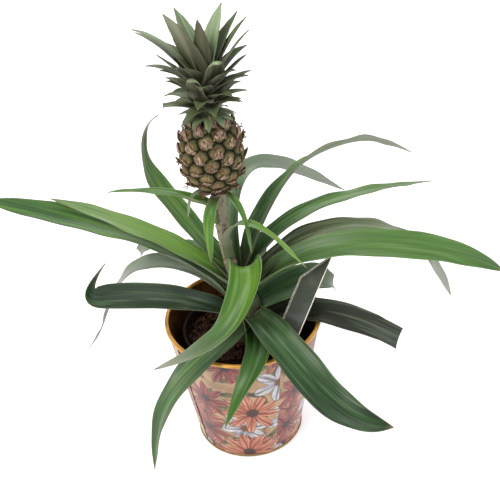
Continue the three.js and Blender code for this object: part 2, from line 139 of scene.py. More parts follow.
def through(keys: Sequence[float], share: np.ndarray | float) -> np.ndarray:
    """Reads a smooth curve through evenly spaced keys.

    Args:
        keys: The values at even steps from share 0 to share 1.
        share: Where to read the curve.

    Returns:
        The curve's value at each share.
    """
    share = np.asarray(share, float)
    if len(keys) == 1:
        return np.full_like(share, keys[0])
    spans = len(keys) - 1
    padded = np.array([2 * keys[0] - keys[1], *keys, 2 * keys[-1] - keys[-2]], float)
    t = np.clip(share, 0, 1) * spans
    i = np.minimum(t.astype(int), spans - 1)
    u = t - i
    p0, p1, p2, p3 = (padded[i + k] for k in range(4))
    bend = 2 * p0 - 5 * p1 + 4 * p2 - p3
    return 0.5 * (2 * p1 + (p2 - p0) * u + bend * u**2 + (3 * p1 - p0 - 3 * p2 + p3) * u**3)


def outlet(node: Node, name: str = "") -> NodeSocket:
    """Finds a node's output in use: the one of that name, or the first."""
    return next(s for s in node.outputs if s.enabled and name in ("", s.name))


def add_node(
    tree: NodeTree, kind: str, inputs: Mapping[str | int, Any] | Sequence[Any] = (),
    stops: Sequence[tuple[float, str]] = (), **settings: Any,
) -> Node:
    """Adds one node with its settings, values and links.

    Args:
        tree: The tree that gets the node.
        kind: The node's type name.
        inputs: Values for its sockets, by name or place, or a tuple of them in order: a number,
            a vector, a hex colour, a socket or a node whose first output is meant.
        stops: Places and hex colours, for a node with a colour ramp.
        **settings: The node's own options.

    Returns:
        The new node.
    """
    node = tree.nodes.new(kind)
    for name, value in settings.items():
        setattr(node, name, value)
    for key, value in inputs.items() if isinstance(inputs, Mapping) else enumerate(inputs):
        named = (s for s in node.inputs if s.name == key and s.enabled)
        socket = node.inputs[key] if isinstance(key, int) else next(named)
        if isinstance(value, Node):
            value = outlet(value)
        if isinstance(value, NodeSocket):
            tree.links.new(value, socket)
        else:
            hexed = isinstance(value, str) and value.startswith("#")
            socket.default_value = linear(value) if hexed else value
    if stops:
        elements = node.color_ramp.elements
        for _ in stops[2:]:
            elements.new(1.0)
        for element, (place, code) in zip(elements, stops):
            element.position = place
            element.color = linear(code)
    return node


def new_finish(name: str, values: Mapping[str, float]) -> tuple[Material, Node]:
    """Starts a node material.

    Args:
        name: The real material and its finish.
        values: Plain values for the main shader's sockets.

    Returns:
        The material and its main shader node.
    """
    material = bpy.data.materials.new(name)
    material.use_nodes = True
    shader = material.node_tree.nodes["Principled BSDF"]
    for key, value in values.items():
        shader.inputs[key].default_value = value
    return material, shader


def cover(shader: Node, colour: Node, height: Node, strength: float, depth: float) -> None:
    """Gives a shader its colour and its relief.

    Args:
        shader: The main shader node.
        colour: The node that ends the colour.
        height: The node that ends the relief's height.
        strength: How strong the relief is, up to 1.
        depth: How deep it is.
    """
    tree = shader.id_data
    bump = add_node(tree, "ShaderNodeBump", {"Height": height, "Strength": strength, "Distance": depth})
    for key, node in (("Base Color", colour), ("Normal", bump)):
        tree.links.new(outlet(node), shader.inputs[key])


def put(name: str, data: ID) -> Object:
    """Puts a new object into the scene, at the origin."""
    thing = bpy.data.objects.new(name, data)
    bpy.context.scene.collection.objects.link(thing)
    return thing


@dataclass
class Patchwork:
    """Collects skins of points into one mesh, with finishes, sheet coordinates and values."""

    name: str
    points: list[np.ndarray] = field(default_factory=list)
    faces: list[list[int]] = field(default_factory=list)
    finishes: list[int] = field(default_factory=list)
    sheet: list[np.ndarray] = field(default_factory=list)
    values: dict[str, list[np.ndarray]] = field(default_factory=dict)
    count: int = 0

    def add_skin(
        self, rings: np.ndarray, sheet: np.ndarray | None = None,
        values: Mapping[str, np.ndarray | float] | None = None, finish: np.ndarray | int = 0,
        ends: tuple[int, int] = (0, 0),
    ) -> None:
        """Adds a closed skin over rings of points, with a flat face over each end.

        Args:
            rings: Points, as rows by places round by three.
            sheet: Flat coordinates of each point, as rows by places round by two. Without them
                its X and Y are taken.
            values: Named numbers for each point.
            finish: The finish of each strip round the skin, or one for all.
            ends: The finishes of the first and last end.
        """
        rows, around = rings.shape[:2]
        index = self.count + np.arange(rows * around).reshape(rows, around)
        beside = np.roll(index, -1, axis=1)
        quads = np.stack([index[:-1], beside[:-1], beside[1:], index[1:]], -1)
        self.faces += quads.reshape(-1, 4).tolist() + [index[0].tolist(), index[-1].tolist()]
        self.finishes += np.broadcast_to(finish, (rows - 1, around)).ravel().tolist() + list(ends)
        self.points.append(rings.reshape(-1, 3))
        self.sheet.append((rings[..., :2] if sheet is None else sheet).reshape(-1, 2))
        for key, value in (values or {}).items():
            self.values.setdefault(key, []).append(np.broadcast_to(value, (rows, around)).ravel())
        self.count += rows * around

    def build(self, materials: Sequence[Material], crease: float = 0) -> Object:
        """Makes the object, with every skin's faces turned outwards.

        Args:
            materials: The finishes, in the order of their numbers.
            crease: Edges sharper than this angle in degrees stay sharp, or 0 for none.

        Returns:
            The linked object, at the origin.
        """
        mesh = bpy.data.meshes.new(self.name)
        mesh.from_pydata(np.concatenate(self.points).tolist(), [], self.faces)
        for material in materials:
            mesh.materials.append(material)
        mesh.polygons.foreach_set("material_index", self.finishes)
        corners = np.empty(len(mesh.loops), np.int32)
        mesh.loops.foreach_get("vertex_index", corners)
        layer = mesh.uv_layers.new(name=SHEET)
        layer.data.foreach_set("uv", np.concatenate(self.sheet)[corners].ravel())
        for key, parts in self.values.items():
            attribute = mesh.attributes.new(key, "FLOAT", "POINT")
            attribute.data.foreach_set("value", np.concatenate(parts).astype(np.float32))
        work = bmesh.new()
        work.from_mesh(mesh)
        bmesh.ops.recalc_face_normals(work, faces=work.faces)
        work.to_mesh(mesh)
        work.free()
        mesh.shade_smooth()
        if crease:
            mesh.set_sharp_from_angle(angle=math.radians(crease))
        return put(self.name, mesh)


def settle(piece: Object, slot: Slot, *nodes: str) -> None:
    """Ties a finished piece to the plant, in place of the solids that it stands for.

    Args:
        piece: The object, in its place.
        slot: The record's slot that its finish belongs to; not used.
        *nodes: The solids that it replaces, or none for added detail.
    """
    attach(piece, BODY)
    if nodes:
        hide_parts(*nodes)
    LOG.info("%s: %d faces, for %s", piece.name, len(piece.data.polygons), ", ".join(nodes) or "detail")


def copies_tree(name: str) -> NodeTree:
    """Builds the tree that sets a copy of a small shape on every point of a piece.

    Each copy's Z axis follows the point's `out` and its Y axis the point's `ahead`. Then it
    leans and changes its size by seeded random numbers.

    Args:
        name: The tree's name.

    Returns:
        The tree.
    """
    tree = bpy.data.node_groups.new(name, "GeometryNodeTree")
    tree.interface.new_socket("Geometry", in_out="OUTPUT", socket_type="NodeSocketGeometry")
    for key, kind in (
        ("Geometry", "Geometry"), ("Copy", "Object"), ("Share", "Float"), ("Smallest", "Vector"),
        ("Largest", "Vector"), ("Sway", "Vector"), ("Seed", "Int"), ("Finish", "Material"),
    ):
        tree.interface.new_socket(key, in_out="INPUT", socket_type=f"NodeSocket{kind}")
    add = partial(add_node, tree)
    start = add("NodeGroupInput")
    points, copy, share, smallest, largest, most, seed, finish = start.outputs[:8]
    shape = add("GeometryNodeObjectInfo", {"Object": copy})
    out, ahead = (
        add("GeometryNodeInputNamedAttribute", {"Name": key}, data_type="FLOAT_VECTOR")
        for key in ("out", "ahead")
    )
    facing = add("FunctionNodeAxesToRotation", {"Primary Axis": out, "Secondary Axis": ahead},
                 primary_axis="Z", secondary_axis="Y")
    back = add(VECTOR_MATH, {0: most, 3: -1.0}, operation="SCALE")
    sway = add(RANDOM, {"Min": back, "Max": most, "Seed": seed}, data_type="FLOAT_VECTOR")
    lean = add("FunctionNodeEulerToRotation", {"Euler": sway})
    set_so = add("FunctionNodeRotateRotation", {"Rotation": facing, "Rotate By": lean},
                 rotation_space="LOCAL")
    size = add(RANDOM, {"Min": smallest, "Max": largest, "Seed": seed}, data_type="FLOAT_VECTOR")
    kept = add(RANDOM, {"Probability": share, "Seed": seed}, data_type="BOOLEAN")
    placed = add("GeometryNodeInstanceOnPoints", {
        "Points": points, "Selection": kept, "Instance": outlet(shape, "Geometry"), "Rotation": set_so,
        "Scale": size,
    })
    real = add("GeometryNodeRealizeInstances", {"Geometry": placed})
    dressed = add("GeometryNodeSetMaterial", {"Geometry": real, "Material": finish})
    add("NodeGroupOutput", {"Geometry": dressed})
    return tree


def set_copies(
    name: str, spots: np.ndarray, out: np.ndarray, ahead: np.ndarray, copy: Object, **values: Any
) -> Object:
    """Sets copies of a small shape on spots and joins them to one plain mesh.

    Args:
        name: The new piece's name.
        spots: Where the copies stand.
        out: Each copy's way up.
        ahead: Each copy's way ahead.
        copy: The small shape, which is used up.
        **values: The tree's other inputs, where they differ from a plain copy on each spot.

    Returns:
        The piece.
    """
    mesh = bpy.data.meshes.new(name)
    mesh.from_pydata(spots.tolist(), [], [])
    for key, ways in (("out", out), ("ahead", ahead)):
        attribute = mesh.attributes.new(key, "FLOAT_VECTOR", "POINT")
        attribute.data.foreach_set("vector", np.broadcast_to(ways, spots.shape).astype(np.float32).ravel())
    piece = put(name, mesh)
    one = (1.0, 1.0, 1.0)
    inputs = {
        "Copy": copy, "Finish": copy.data.materials[0], "Share": 1.0, "Smallest": one, "Largest": one,
        "Sway": (0.0, 0.0, 0.0), "Seed": 1, **values,
    }
    modifier = piece.modifiers.new(name, "NODES")
    modifier.node_group = copies_tree(f"{name}_copies")
    for item in modifier.node_group.interface.items_tree:
        if item.name in inputs:
            modifier[item.identifier] = inputs[item.name]
    graph = bpy.context.evaluated_depsgraph_get()
    grown = piece.evaluated_get(graph)
    plain = bpy.data.meshes.new_from_object(grown, preserve_all_data_layers=True, depsgraph=graph)
    piece.modifiers.remove(modifier)
    for key in ("out", "ahead"):
        plain.attributes.remove(plain.attributes[key])
    plain.name = name
    piece.data = plain
    bpy.data.objects.remove(copy)
    return piece


def add_thread(work: Patchwork, middle: np.ndarray, thick: np.ndarray, sides: int = 5) -> None:
    """Adds a closed round thread along a line of points, with its radius at each."""
    along = np.gradient(middle, axis=0)
    skew = (0.31, 0.52, 0.8)  # No thread runs this way.
    level = np.cross(along, skew)
    level /= np.linalg.norm(level, axis=1, keepdims=True)
    rise = np.cross(along, level)
    rise /= np.linalg.norm(rise, axis=1, keepdims=True)
    angle = all_round(sides)[:, None]
    ring = level[:, None] * np.cos(angle) + rise[:, None] * np.sin(angle)
    work.add_skin(middle[:, None] + ring * thick[:, None, None])


def standing(corner: Sequence[float], x: Vector, y: Vector, z: Vector) -> Matrix:
    """Gives the frame that stands at a corner with these three axes."""
    return Matrix.Translation(corner) @ Matrix((x, y, z)).transposed().to_4x4()


def small_ball(
    name: str, finish: Grain, radius: float, detail: int, shape: Callable[[Vector], Vector]
) -> Object:
    """Builds a small shape from a ball.

    Args:
        name: The shape's name.
        finish: Its finish.
        radius: The ball's radius.
        detail: How finely the ball is divided.
        shape: Gives the new place of each of its points.

    Returns:
        The shape, outside the scene.
    """
    work = bmesh.new()
    bmesh.ops.create_icosphere(work, subdivisions=detail, radius=radius)
    for vert in work.verts:
        vert.co = shape(vert.co)
    mesh = bpy.data.meshes.new(name)
    work.to_mesh(mesh)
    work.free()
    mesh.materials.append(finish.make())
    return bpy.data.objects.new(name, mesh)


@dataclass(frozen=True)
class PrintMotif:
    """One layer of the floral print: painted blossoms or leaves, scattered over the sheet."""

    spacing: float
    reach: float
    petals: int
    paint: tuple[str, str, str]
    heart: str
    seed: float
    present: float = 0.7
    notch: float = 0.6
    narrow: float = 1.0
    ink: str = "#3a211d"

    def lay_over(self, tree: NodeTree, place: NodeSocket, ground: Node) -> Node:
        """Paints the layer over what is there.

        Args:
            tree: The material's tree.
            place: The sheet coordinates, in metres.
            ground: The colour below.

        Returns:
            The colour with this layer on it.
        """
        add = partial(add_node, tree)
        scale = 1 / self.spacing
        cells = add("ShaderNodeMapping", {
            "Vector": place, "Scale": (scale, scale, scale), "Location": (self.seed, self.seed * 1.7, 0),
        })
        seeds = add("ShaderNodeTexVoronoi", {"Vector": cells, "Scale": 1.0, "Randomness": 0.55},
                    voronoi_dimensions="2D")
        local = add(VECTOR_MATH, (cells, outlet(seeds, "Position")), operation="SUBTRACT")
        chance = add("ShaderNodeSeparateColor", {"Color": outlet(seeds, "Color")})
        spin = add(MATH, (outlet(chance, "Red"), math.tau), operation="MULTIPLY")
        turned_so = add("ShaderNodeVectorRotate", {"Vector": local, "Angle": spin}, rotation_type="Z_AXIS")
        squeezed = add(VECTOR_MATH, (turned_so, (1.0, self.narrow, 0.0)), operation="MULTIPLY")
        sides = add("ShaderNodeSeparateXYZ", {"Vector": squeezed})
        angle = add(MATH, (outlet(sides, "Y"), outlet(sides, "X")), operation="ARCTAN2")
        distance = add(VECTOR_MATH, (squeezed,), operation="LENGTH")
        radius = add(MATH, (outlet(distance, "Value"), self.reach * scale), operation="DIVIDE")
        phase = add(MATH, (angle, self.petals / math.tau), operation="MULTIPLY")
        # petal is 0 on a petal's middle vein and 0.5 between two petals, where the outline is notched.
        petal = add(MATH, (phase, 0.5), operation="PINGPONG")
        gap = add(MATH, (petal, 1.6), operation="POWER")
        cut = add(MATH, (gap, -self.notch * 3.0, 1.0), operation="MULTIPLY_ADD")
        inside = add(MATH, (cut, radius), operation="SUBTRACT")
        shape = add(SPREAD, (inside, 0.0, 0.04))
        held = add(MATH, (outlet(chance, "Green"), self.present), operation="LESS_THAN")
        mask = add(MATH, (shape, held), operation="MULTIPLY")
        # Brush strokes run from the heart to the petal's end, three or four to a petal.
        strokes = add(MATH, (phase, 4.0), operation="MULTIPLY")
        polar = add("ShaderNodeCombineXYZ", (strokes, radius))
        brush = add(NOISE, {"Vector": polar, "Scale": 1.4, "Detail": 3.0})
        wash = add(MATH, (radius, 0.16, brush), operation="MULTIPLY_ADD")
        paint = add(RAMP, (wash,), tuple(zip((0.40, 0.56, 0.72), self.paint)))
        middle = add(SPREAD, (radius, 0.24, 0.16, 0.0, 1.0))
        centred = add(MIX, {"Factor": middle, "A": paint, "B": self.heart}, data_type="RGBA")
        painted = add(MIX, {"Factor": mask, "A": ground, "B": centred}, data_type="RGBA")
        # The pen line strays a little from the paint's edge, and draws each petal's middle vein.
        wobble = add(NOISE, {"Vector": cells, "Scale": 3.0, "Detail": 1.0})
        loose = add(MATH, (wobble, 0.30, -0.15), operation="MULTIPLY_ADD")
        stray = add(MATH, (inside, loose), operation="ADD")
        rim = add(MATH, (stray,), operation="ABSOLUTE")
        vein = add(MATH, (petal, radius), operation="MULTIPLY")
        nearest = add(MATH, (rim, vein), operation="MINIMUM")
        line = add(SPREAD, (nearest, 0.045, 0.015, 0.0, 0.6))
        near = add(MATH, (inside, -0.16), operation="GREATER_THAN")
        drawn = add(MATH, (line, held), operation="MULTIPLY")
        kept = add(MATH, (drawn, near), operation="MULTIPLY")
        return add(MIX, {"Factor": kept, "A": painted, "B": self.ink}, data_type="RGBA")


@dataclass(frozen=True)
class PrintedTin:
    """Tinplate, offset printed with loose painted blossoms under clear varnish.

    The eye gets crisp warm colours on beige with the soft, broad shine of a lacquered tin.
    """

    ground: str = "#b39270"
    shade: str = "#947657"
    motifs: tuple[PrintMotif, ...] = (
        PrintMotif(0.024, 0.0120, 2, ("#2b2b18", "#4e4b2b", "#7a744e"), "#33301d", 3.1, 0.85, 0.5, 2.3),
        PrintMotif(0.040, 0.0200, 7, ("#612520", "#8b4637", "#bd816b"), "#331712", 7.7, 0.8),
        PrintMotif(0.052, 0.0250, 6, ("#6a6770", "#9b989f", "#cfcccf"), "#7a4a2b", 1.3, 0.65),
        PrintMotif(0.048, 0.0235, 8, ("#431619", "#742c2c", "#a0564f"), "#220c0b", 5.9, 0.6),
        PrintMotif(0.062, 0.0290, 9, ("#783320", "#a3553c", "#cd967b"), "#3d1d14", 9.4, 0.5),
    )

    def make(self) -> Material:
        """Builds the material on the flat sheet's own coordinates."""
        material, shader = new_finish("printed_varnished_tinplate", {
            "Roughness": 0.42, "Specular IOR Level": 0.35, "Coat Weight": 0.25, "Coat Roughness": 0.25,
        })
        tree = material.node_tree
        sheet = outlet(add_node(tree, "ShaderNodeUVMap", uv_map=SHEET))
        # Clouds in the beige 20 mm wide, and hardly seen dents 30 mm wide.
        cloud, dent = (
            add_node(tree, NOISE, {"Vector": sheet, "Scale": 1 / wide, "Detail": detail})
            for wide, detail in ((0.02, 3.0), (0.03, 2.0))
        )
        colour = add_node(tree, RAMP, (cloud,), ((0.4, self.ground), (0.6, self.shade)))
        for motif in self.motifs:
            colour = motif.lay_over(tree, sheet, colour)
        cover(shader, colour, dent, 0.25, 0.0006)
        return material


@dataclass(frozen=True)
class Grain:
    """A material whose colours and relief follow one grain of a real size.

    size is the grain's length in metres, and tall its length along Z where that differs. Where
    follow names a value of the piece, the colours follow it, and the grain only stirs them.
    """

    name: str
    stops: tuple[tuple[float, str], ...]
    size: float
    relief: float
    depth: float
    roughness: float = 0.8
    specular: float = 0.5
    metallic: float = 0.0
    ior: float = 1.5
    coat: float = 0.0
    coat_roughness: float = 0.12
    glow: float = 0.0
    tall: float = 0.0
    follow: str = ""

    def make(self) -> Material:
        """Builds the material."""
        material, shader = new_finish(self.name, {
            "Roughness": self.roughness, "Specular IOR Level": self.specular, "Metallic": self.metallic,
            "IOR": self.ior, "Coat Weight": self.coat, "Coat Roughness": self.coat_roughness,
            "Emission Strength": self.glow,
        })
        add = partial(add_node, material.node_tree)
        place = outlet(add("ShaderNodeTexCoord"), "Object")
        scale = tuple(1 / length for length in (self.size, self.size, self.tall or self.size))
        drawn = add("ShaderNodeMapping", {"Vector": place, "Scale": scale})
        grain = add(NOISE, {"Vector": drawn, "Scale": 1.0, "Detail": 5.0})
        level = grain
        if self.follow:
            value = outlet(add(VALUE, attribute_name=self.follow), "Fac")
            stir = add(MATH, (grain, 0.8, -0.4), operation="MULTIPLY_ADD")
            level = add(MATH, (value, stir), operation="ADD")
        cover(shader, add(RAMP, (level,), self.stops), grain, self.relief, self.depth)
        return material


# Tinplate under golden lacquer, rolled: a warm yellow edge with a satin shine.
GOLD_RIM = Grain("gold_lacquered_rolled_tinplate", ((0.35, "#d9a34a"), (0.65, "#b58036")),
                 0.008, 0.15, 0.0002, 0.34, metallic=0.55)
# The base bead: the same lacquer in a duller beige gold.
DULL_BEAD = Grain("worn_gold_lacquered_tinplate", ((0.35, "#937449"), (0.65, "#755a38")),
                  0.006, 0.2, 0.0002, 0.45, metallic=0.4)
# The same sheet's inner side, in shade: a dull brown gold.
BROWN_INSIDE = Grain("brown_gold_lacquered_tinplate", ((0.35, "#7a4e24"), (0.65, "#4c2e17")),
                     0.008, 0.15, 0.0002, 0.5, metallic=0.35)
# Thermoformed plant pot plastic: a dull red-brown wall with faint upright drawing marks.
BROWN_PLASTIC = Grain("brown_thermoformed_polypropylene", ((0.4, "#170d08"), (0.7, "#2e1c15")),
                      0.0015, 0.2, 0.0002, 0.75, 0.15, ior=1.49, tall=0.02)
# Moist peat: near-black hollows with rusty brown specks that never shine.
MOIST_PEAT = Grain("moist_dark_peat", ((0.42, "#0d0806"), (0.6, "#2e1d17"), (0.8, "#5a4033")),
                   0.0035, 0.9, 0.0012, 0.95, 0.1)
# Drier crumbs and fibres on it: a warmer and paler brown.
DRY_PEAT = Grain("crumbly_dry_peat", ((0.3, "#1a100c"), (0.5, "#432b21"), (0.75, "#7d5c49")),
                 0.0025, 0.8, 0.0006, 0.95, 0.1)
# Corky skin of a young fruit stalk: matt pinkish grey with brown scars and a green tinge.
STALK_SKIN = Grain("corky_young_stalk", ((0.32, "#5d503c"), (0.48, "#978c78"), (0.7, "#7d7c5e")),
                   0.0016, 0.6, 0.0006, 0.75, 0.3, tall=0.006)
# Leathery rind of an unripe fruit: olive domes, coloured by their height: near-black down in the grooves,
# partly their own dark brown and partly painted shade, and tan on the crests, partly a painted highlight.
RIND_STOPS_WITH_PAINTED_SHADE = ((0.2, "#0e0805"), (0.42, "#2b2c17"), (0.7, "#434429"), (0.86, "#5a4e34"), (1.0, "#84704f"))
FRUIT_RIND = Grain("leathery_fruit_rind", RIND_STOPS_WITH_PAINTED_SHADE, 0.0012, 0.5, 0.0005, 0.7, 0.12, follow="depth")
# Papery bract of an eye: matt pinkish beige, browner where it has withered.
PAPER_BRACT = Grain("papery_fruit_bract", ((0.36, "#36251a"), (0.5, "#78604a"), (0.64, "#a8917a")),
                    0.0011, 0.4, 0.0003, tall=0.0036)
# Withered floret: brittle rusty brown threads.
DRY_FLORET = Grain("withered_floret", ((0.38, "#2c1710"), (0.62, "#6e3f2d")), 0.002, 0.4, 0.0003)
# Printed face of a polystyrene plant label: glossy green-black print, lightened by grey patches 50 mm wide
# as a painted sheen.
LABEL_FACE_AND_SHEEN = Grain("printed_polystyrene_face", ((0.35, "#303b35"), (0.65, "#5f6258")),
                   0.05, 0.02, 0.0001, 0.25, ior=1.59, coat=0.5)
# The same sheet where it is cut and ribbed: bare cream plastic.
LABEL_EDGE = Grain("bare_polystyrene_edge", ((0.3, "#c2baa6"), (0.6, "#e8e2d2")),
                   0.003, 0.05, 0.0001, 0.4, ior=1.59)
# White light table of the studio: plain bright ground with hardly a shadow.
LIGHT_TABLE = Grain("matt_white_light_table", ((0.0, "#efeeec"), (1.0, "#f4f4f3")),
                    0.004, 0.02, 0.0001, 0.9, 0.1, glow=0.3)


@dataclass(frozen=True)
class LeafFinish:
    """Living leaf tissue under a waxy cuticle, ribbed lengthwise, with scales on the underside.

    The eye gets a satin green blade with fine streaks along it, a pale painted sheen in patches, a
    thin brownish margin, a dry tip, and a silvery underside.
    """

    name: str
    tones: tuple[str, str, str]
    under: tuple[str, str, str]
    margin: str = "#766c52"
    root: str = "#454930"
    tip: str = "#6d5a40"
    # Grey of the scales, which on some leaves also paints a bluish-white sheen.
    scurf: str = "#8f9283"
    # Tint of a painted sheen, laid in pale patches where the washes run high.
    painted_sheen: str = "#8ea28c"
    shine: float = 0.34
    contrast: float = 0.75

    def _side(self, side: str, tones: tuple[str, str, str], roughness: float, ribs: float) -> Material:
        """Builds one face of the blade.

        Args:
            side: The face's name.
            tones: Its deep, middle and bright colour.
            roughness: How soft the shine is.
            ribs: How strong the ribs' relief is.

        Returns:
            The material.
        """
        material, shader = new_finish(f"{self.name}_{side}", {
            "Roughness": roughness, "Specular IOR Level": 0.3,
        })
        add = partial(add_node, material.node_tree)
        sheet = outlet(add("ShaderNodeUVMap", uv_map=SHEET))
        noises = []
        # Streaks 2.4 mm wide, ribs 0.8 mm wide, and washes 5 mm wide and 80 mm long.
        for wide, long in ((0.0024, 0.11), (0.0008, 0.06), (0.005, 0.08)):
            drawn = add("ShaderNodeMapping", {"Vector": sheet, "Scale": (1 / wide, 1 / long, 1.0)})
            noises.append(add(NOISE, {"Vector": drawn, "Scale": 1.0, "Detail": 2.0}))
        streak, rib, cloud = noises
        along, edge, scurf, shade = (
            outlet(add(VALUE, attribute_name=key), "Fac") for key in ("along", "edge", "scurf", "shade")
        )
        lines = add(MATH, (streak, rib), operation="ADD")
        fine = add(MATH, (lines, self.contrast, -self.contrast), operation="MULTIPLY_ADD")
        broad = add(MATH, (cloud, 0.65, -0.325), operation="MULTIPLY_ADD")
        both = add(MATH, (fine, broad), operation="ADD")
        # The shade value moves the tone: partly the leaf's own colour, partly painted light and shade.
        tone = add(MATH, (both, shade), operation="ADD")
        colour = add(RAMP, (tone,), tuple(zip((0.05, 0.5, 0.95), tones)))
        # Painted sheen, scales (on some leaves also a painted sheen), margin, root and tip: where each
        # starts, is full, how full, and its tint.
        for value, none, full, most, tint in (
            (cloud, 0.54, 0.74, 0.25, self.painted_sheen), (scurf, 0.0, 1.0, 1.0, self.scurf),
            (edge, 0.0008, 0.0002, 0.35, self.margin), (along, 0.18, 0.02, 0.9, self.root),
            (along, 0.965, 0.995, 0.9, self.tip),
        ):
            share = add(SPREAD, (value, none, full, 0.0, most))
            colour = add(MIX, {"Factor": share, "A": colour, "B": tint}, data_type="RGBA")
        cover(shader, colour, lines, ribs, 0.0004)
        return material

    def make(self) -> tuple[Material, Material]:
        """Builds the upper and the lower face."""
        upper = self._side("upper_face", self.tones, self.shine, 0.35)
        under = self._side("underside", self.under, 0.6, 0.6)
        return upper, under


# The slot and the finish of each colouring of rosette leaf.
LEAF_COLOURINGS = {
    # Grown leaf: dark green with a satin shine and a dull underside.
    Tone.MATURE: (Slot.LEAF, LeafFinish(
        "mature_waxy_leaf", ("#1c2e1a", "#3b5c2f", "#6c923c"), ("#2b3422", "#475439", "#717b62"),
    )),
    # Young leaf: a fresher, more even green with pale margins and a pale root.
    Tone.YOUNG: (Slot.YOUNG_LEAF, LeafFinish(
        "young_waxy_leaf", ("#2a4a1c", "#466f24", "#78993a"), ("#47562f", "#67764c", "#8d9872"),
        margin="#85935f", root="#56603c", scurf="#a5a398", contrast=0.55,
    )),
    # Leaf under a coat of scales: a soft grey-green.
    Tone.GREY: (Slot.GREY_LEAF, LeafFinish(
        "scaly_grey_leaf", ("#2f4427", "#4c6640", "#728a5e"), ("#4a5244", "#6a7063", "#8b8e82"),
        scurf="#85897c",
    )),
    # Dull leaf: olive with dark streaks.
    Tone.DULL: (Slot.LEAF, LeafFinish(
        "dull_old_leaf", ("#23251a", "#434c30", "#76845a"), ("#35382a", "#4d5240", "#70745c"),
    )),
}
# Leaf of the crown: matt grey-green with brownish margins, tips and undersides, and a grey painted sheen in
# patches.
CROWN_LEAF = LeafFinish(
    "waxy_crown_leaf", ("#2f3921", "#5b6a47", "#93a680"), ("#2f2c20", "#565642", "#82866d"),
    margin="#5b4a3b", root="#46522f", tip="#6b5142", scurf="#6f6f60", painted_sheen="#6c7663", shine=0.5,
    contrast=0.6,
)


def arc(middle: Sequence[float], radius: float, start: float, stop: float, count: int) -> np.ndarray:
    """Samples an arc in the plane of a profile.

    Args:
        middle: The arc's centre, as radius and height.
        radius: The arc's own radius.
        start: The first angle in degrees, from outwards towards up.
        stop: The last angle in degrees.
        count: How many points.

    Returns:
        The points, as rows of radius and height.
    """
    angle = np.radians(np.linspace(start, stop, count))
    return np.stack([middle[0] + radius * np.cos(angle), middle[1] + radius * np.sin(angle)], -1)


def all_round(sides: int) -> np.ndarray:
    """Gives even angles all the way round, in radians."""
    return np.linspace(0, math.tau, sides, endpoint=False)


def about_axis(
    reach: np.ndarray | float, angle: np.ndarray, height: np.ndarray | float,
    axis: Sequence[np.ndarray | float] = (0.0, 0.0),
) -> np.ndarray:
    """Gives points round an upright axis.

    Args:
        reach: How far out each point lies.
        angle: Its angle from +X in radians.
        height: Its height.
        axis: Where the axis stands, for all points or for each.

    Returns:
        The points, with X, Y and Z in the last place.
    """
    x = axis[0] + reach * np.cos(angle)
    y = axis[1] + reach * np.sin(angle)
    return np.stack([x, y, np.broadcast_to(height, x.shape)], -1)


def turned(profile: np.ndarray, sides: int, axis: tuple[float, float] = (0.0, 0.0)) -> np.ndarray:
    """Turns a profile about an upright axis.

    Args:
        profile: Rows of radius and height.
        sides: How many places round.
        axis: Where the axis stands.

    Returns:
        Rings of points, as profile rows by sides by three.
    """
    return about_axis(profile[:, :1], all_round(sides), profile[:, 1:], axis)


def unrolled(rings: np.ndarray, axis: tuple[float, float] = (0.0, 0.0)) -> np.ndarray:
    """Gives turned rings flat coordinates: distance round and height."""
    flat = rings[..., :2] - np.array(axis)
    around = np.arctan2(flat[..., 1], flat[..., 0]) * np.hypot(flat[..., 0], flat[..., 1]).max()
    return np.stack([around, rings[..., 2]], -1)


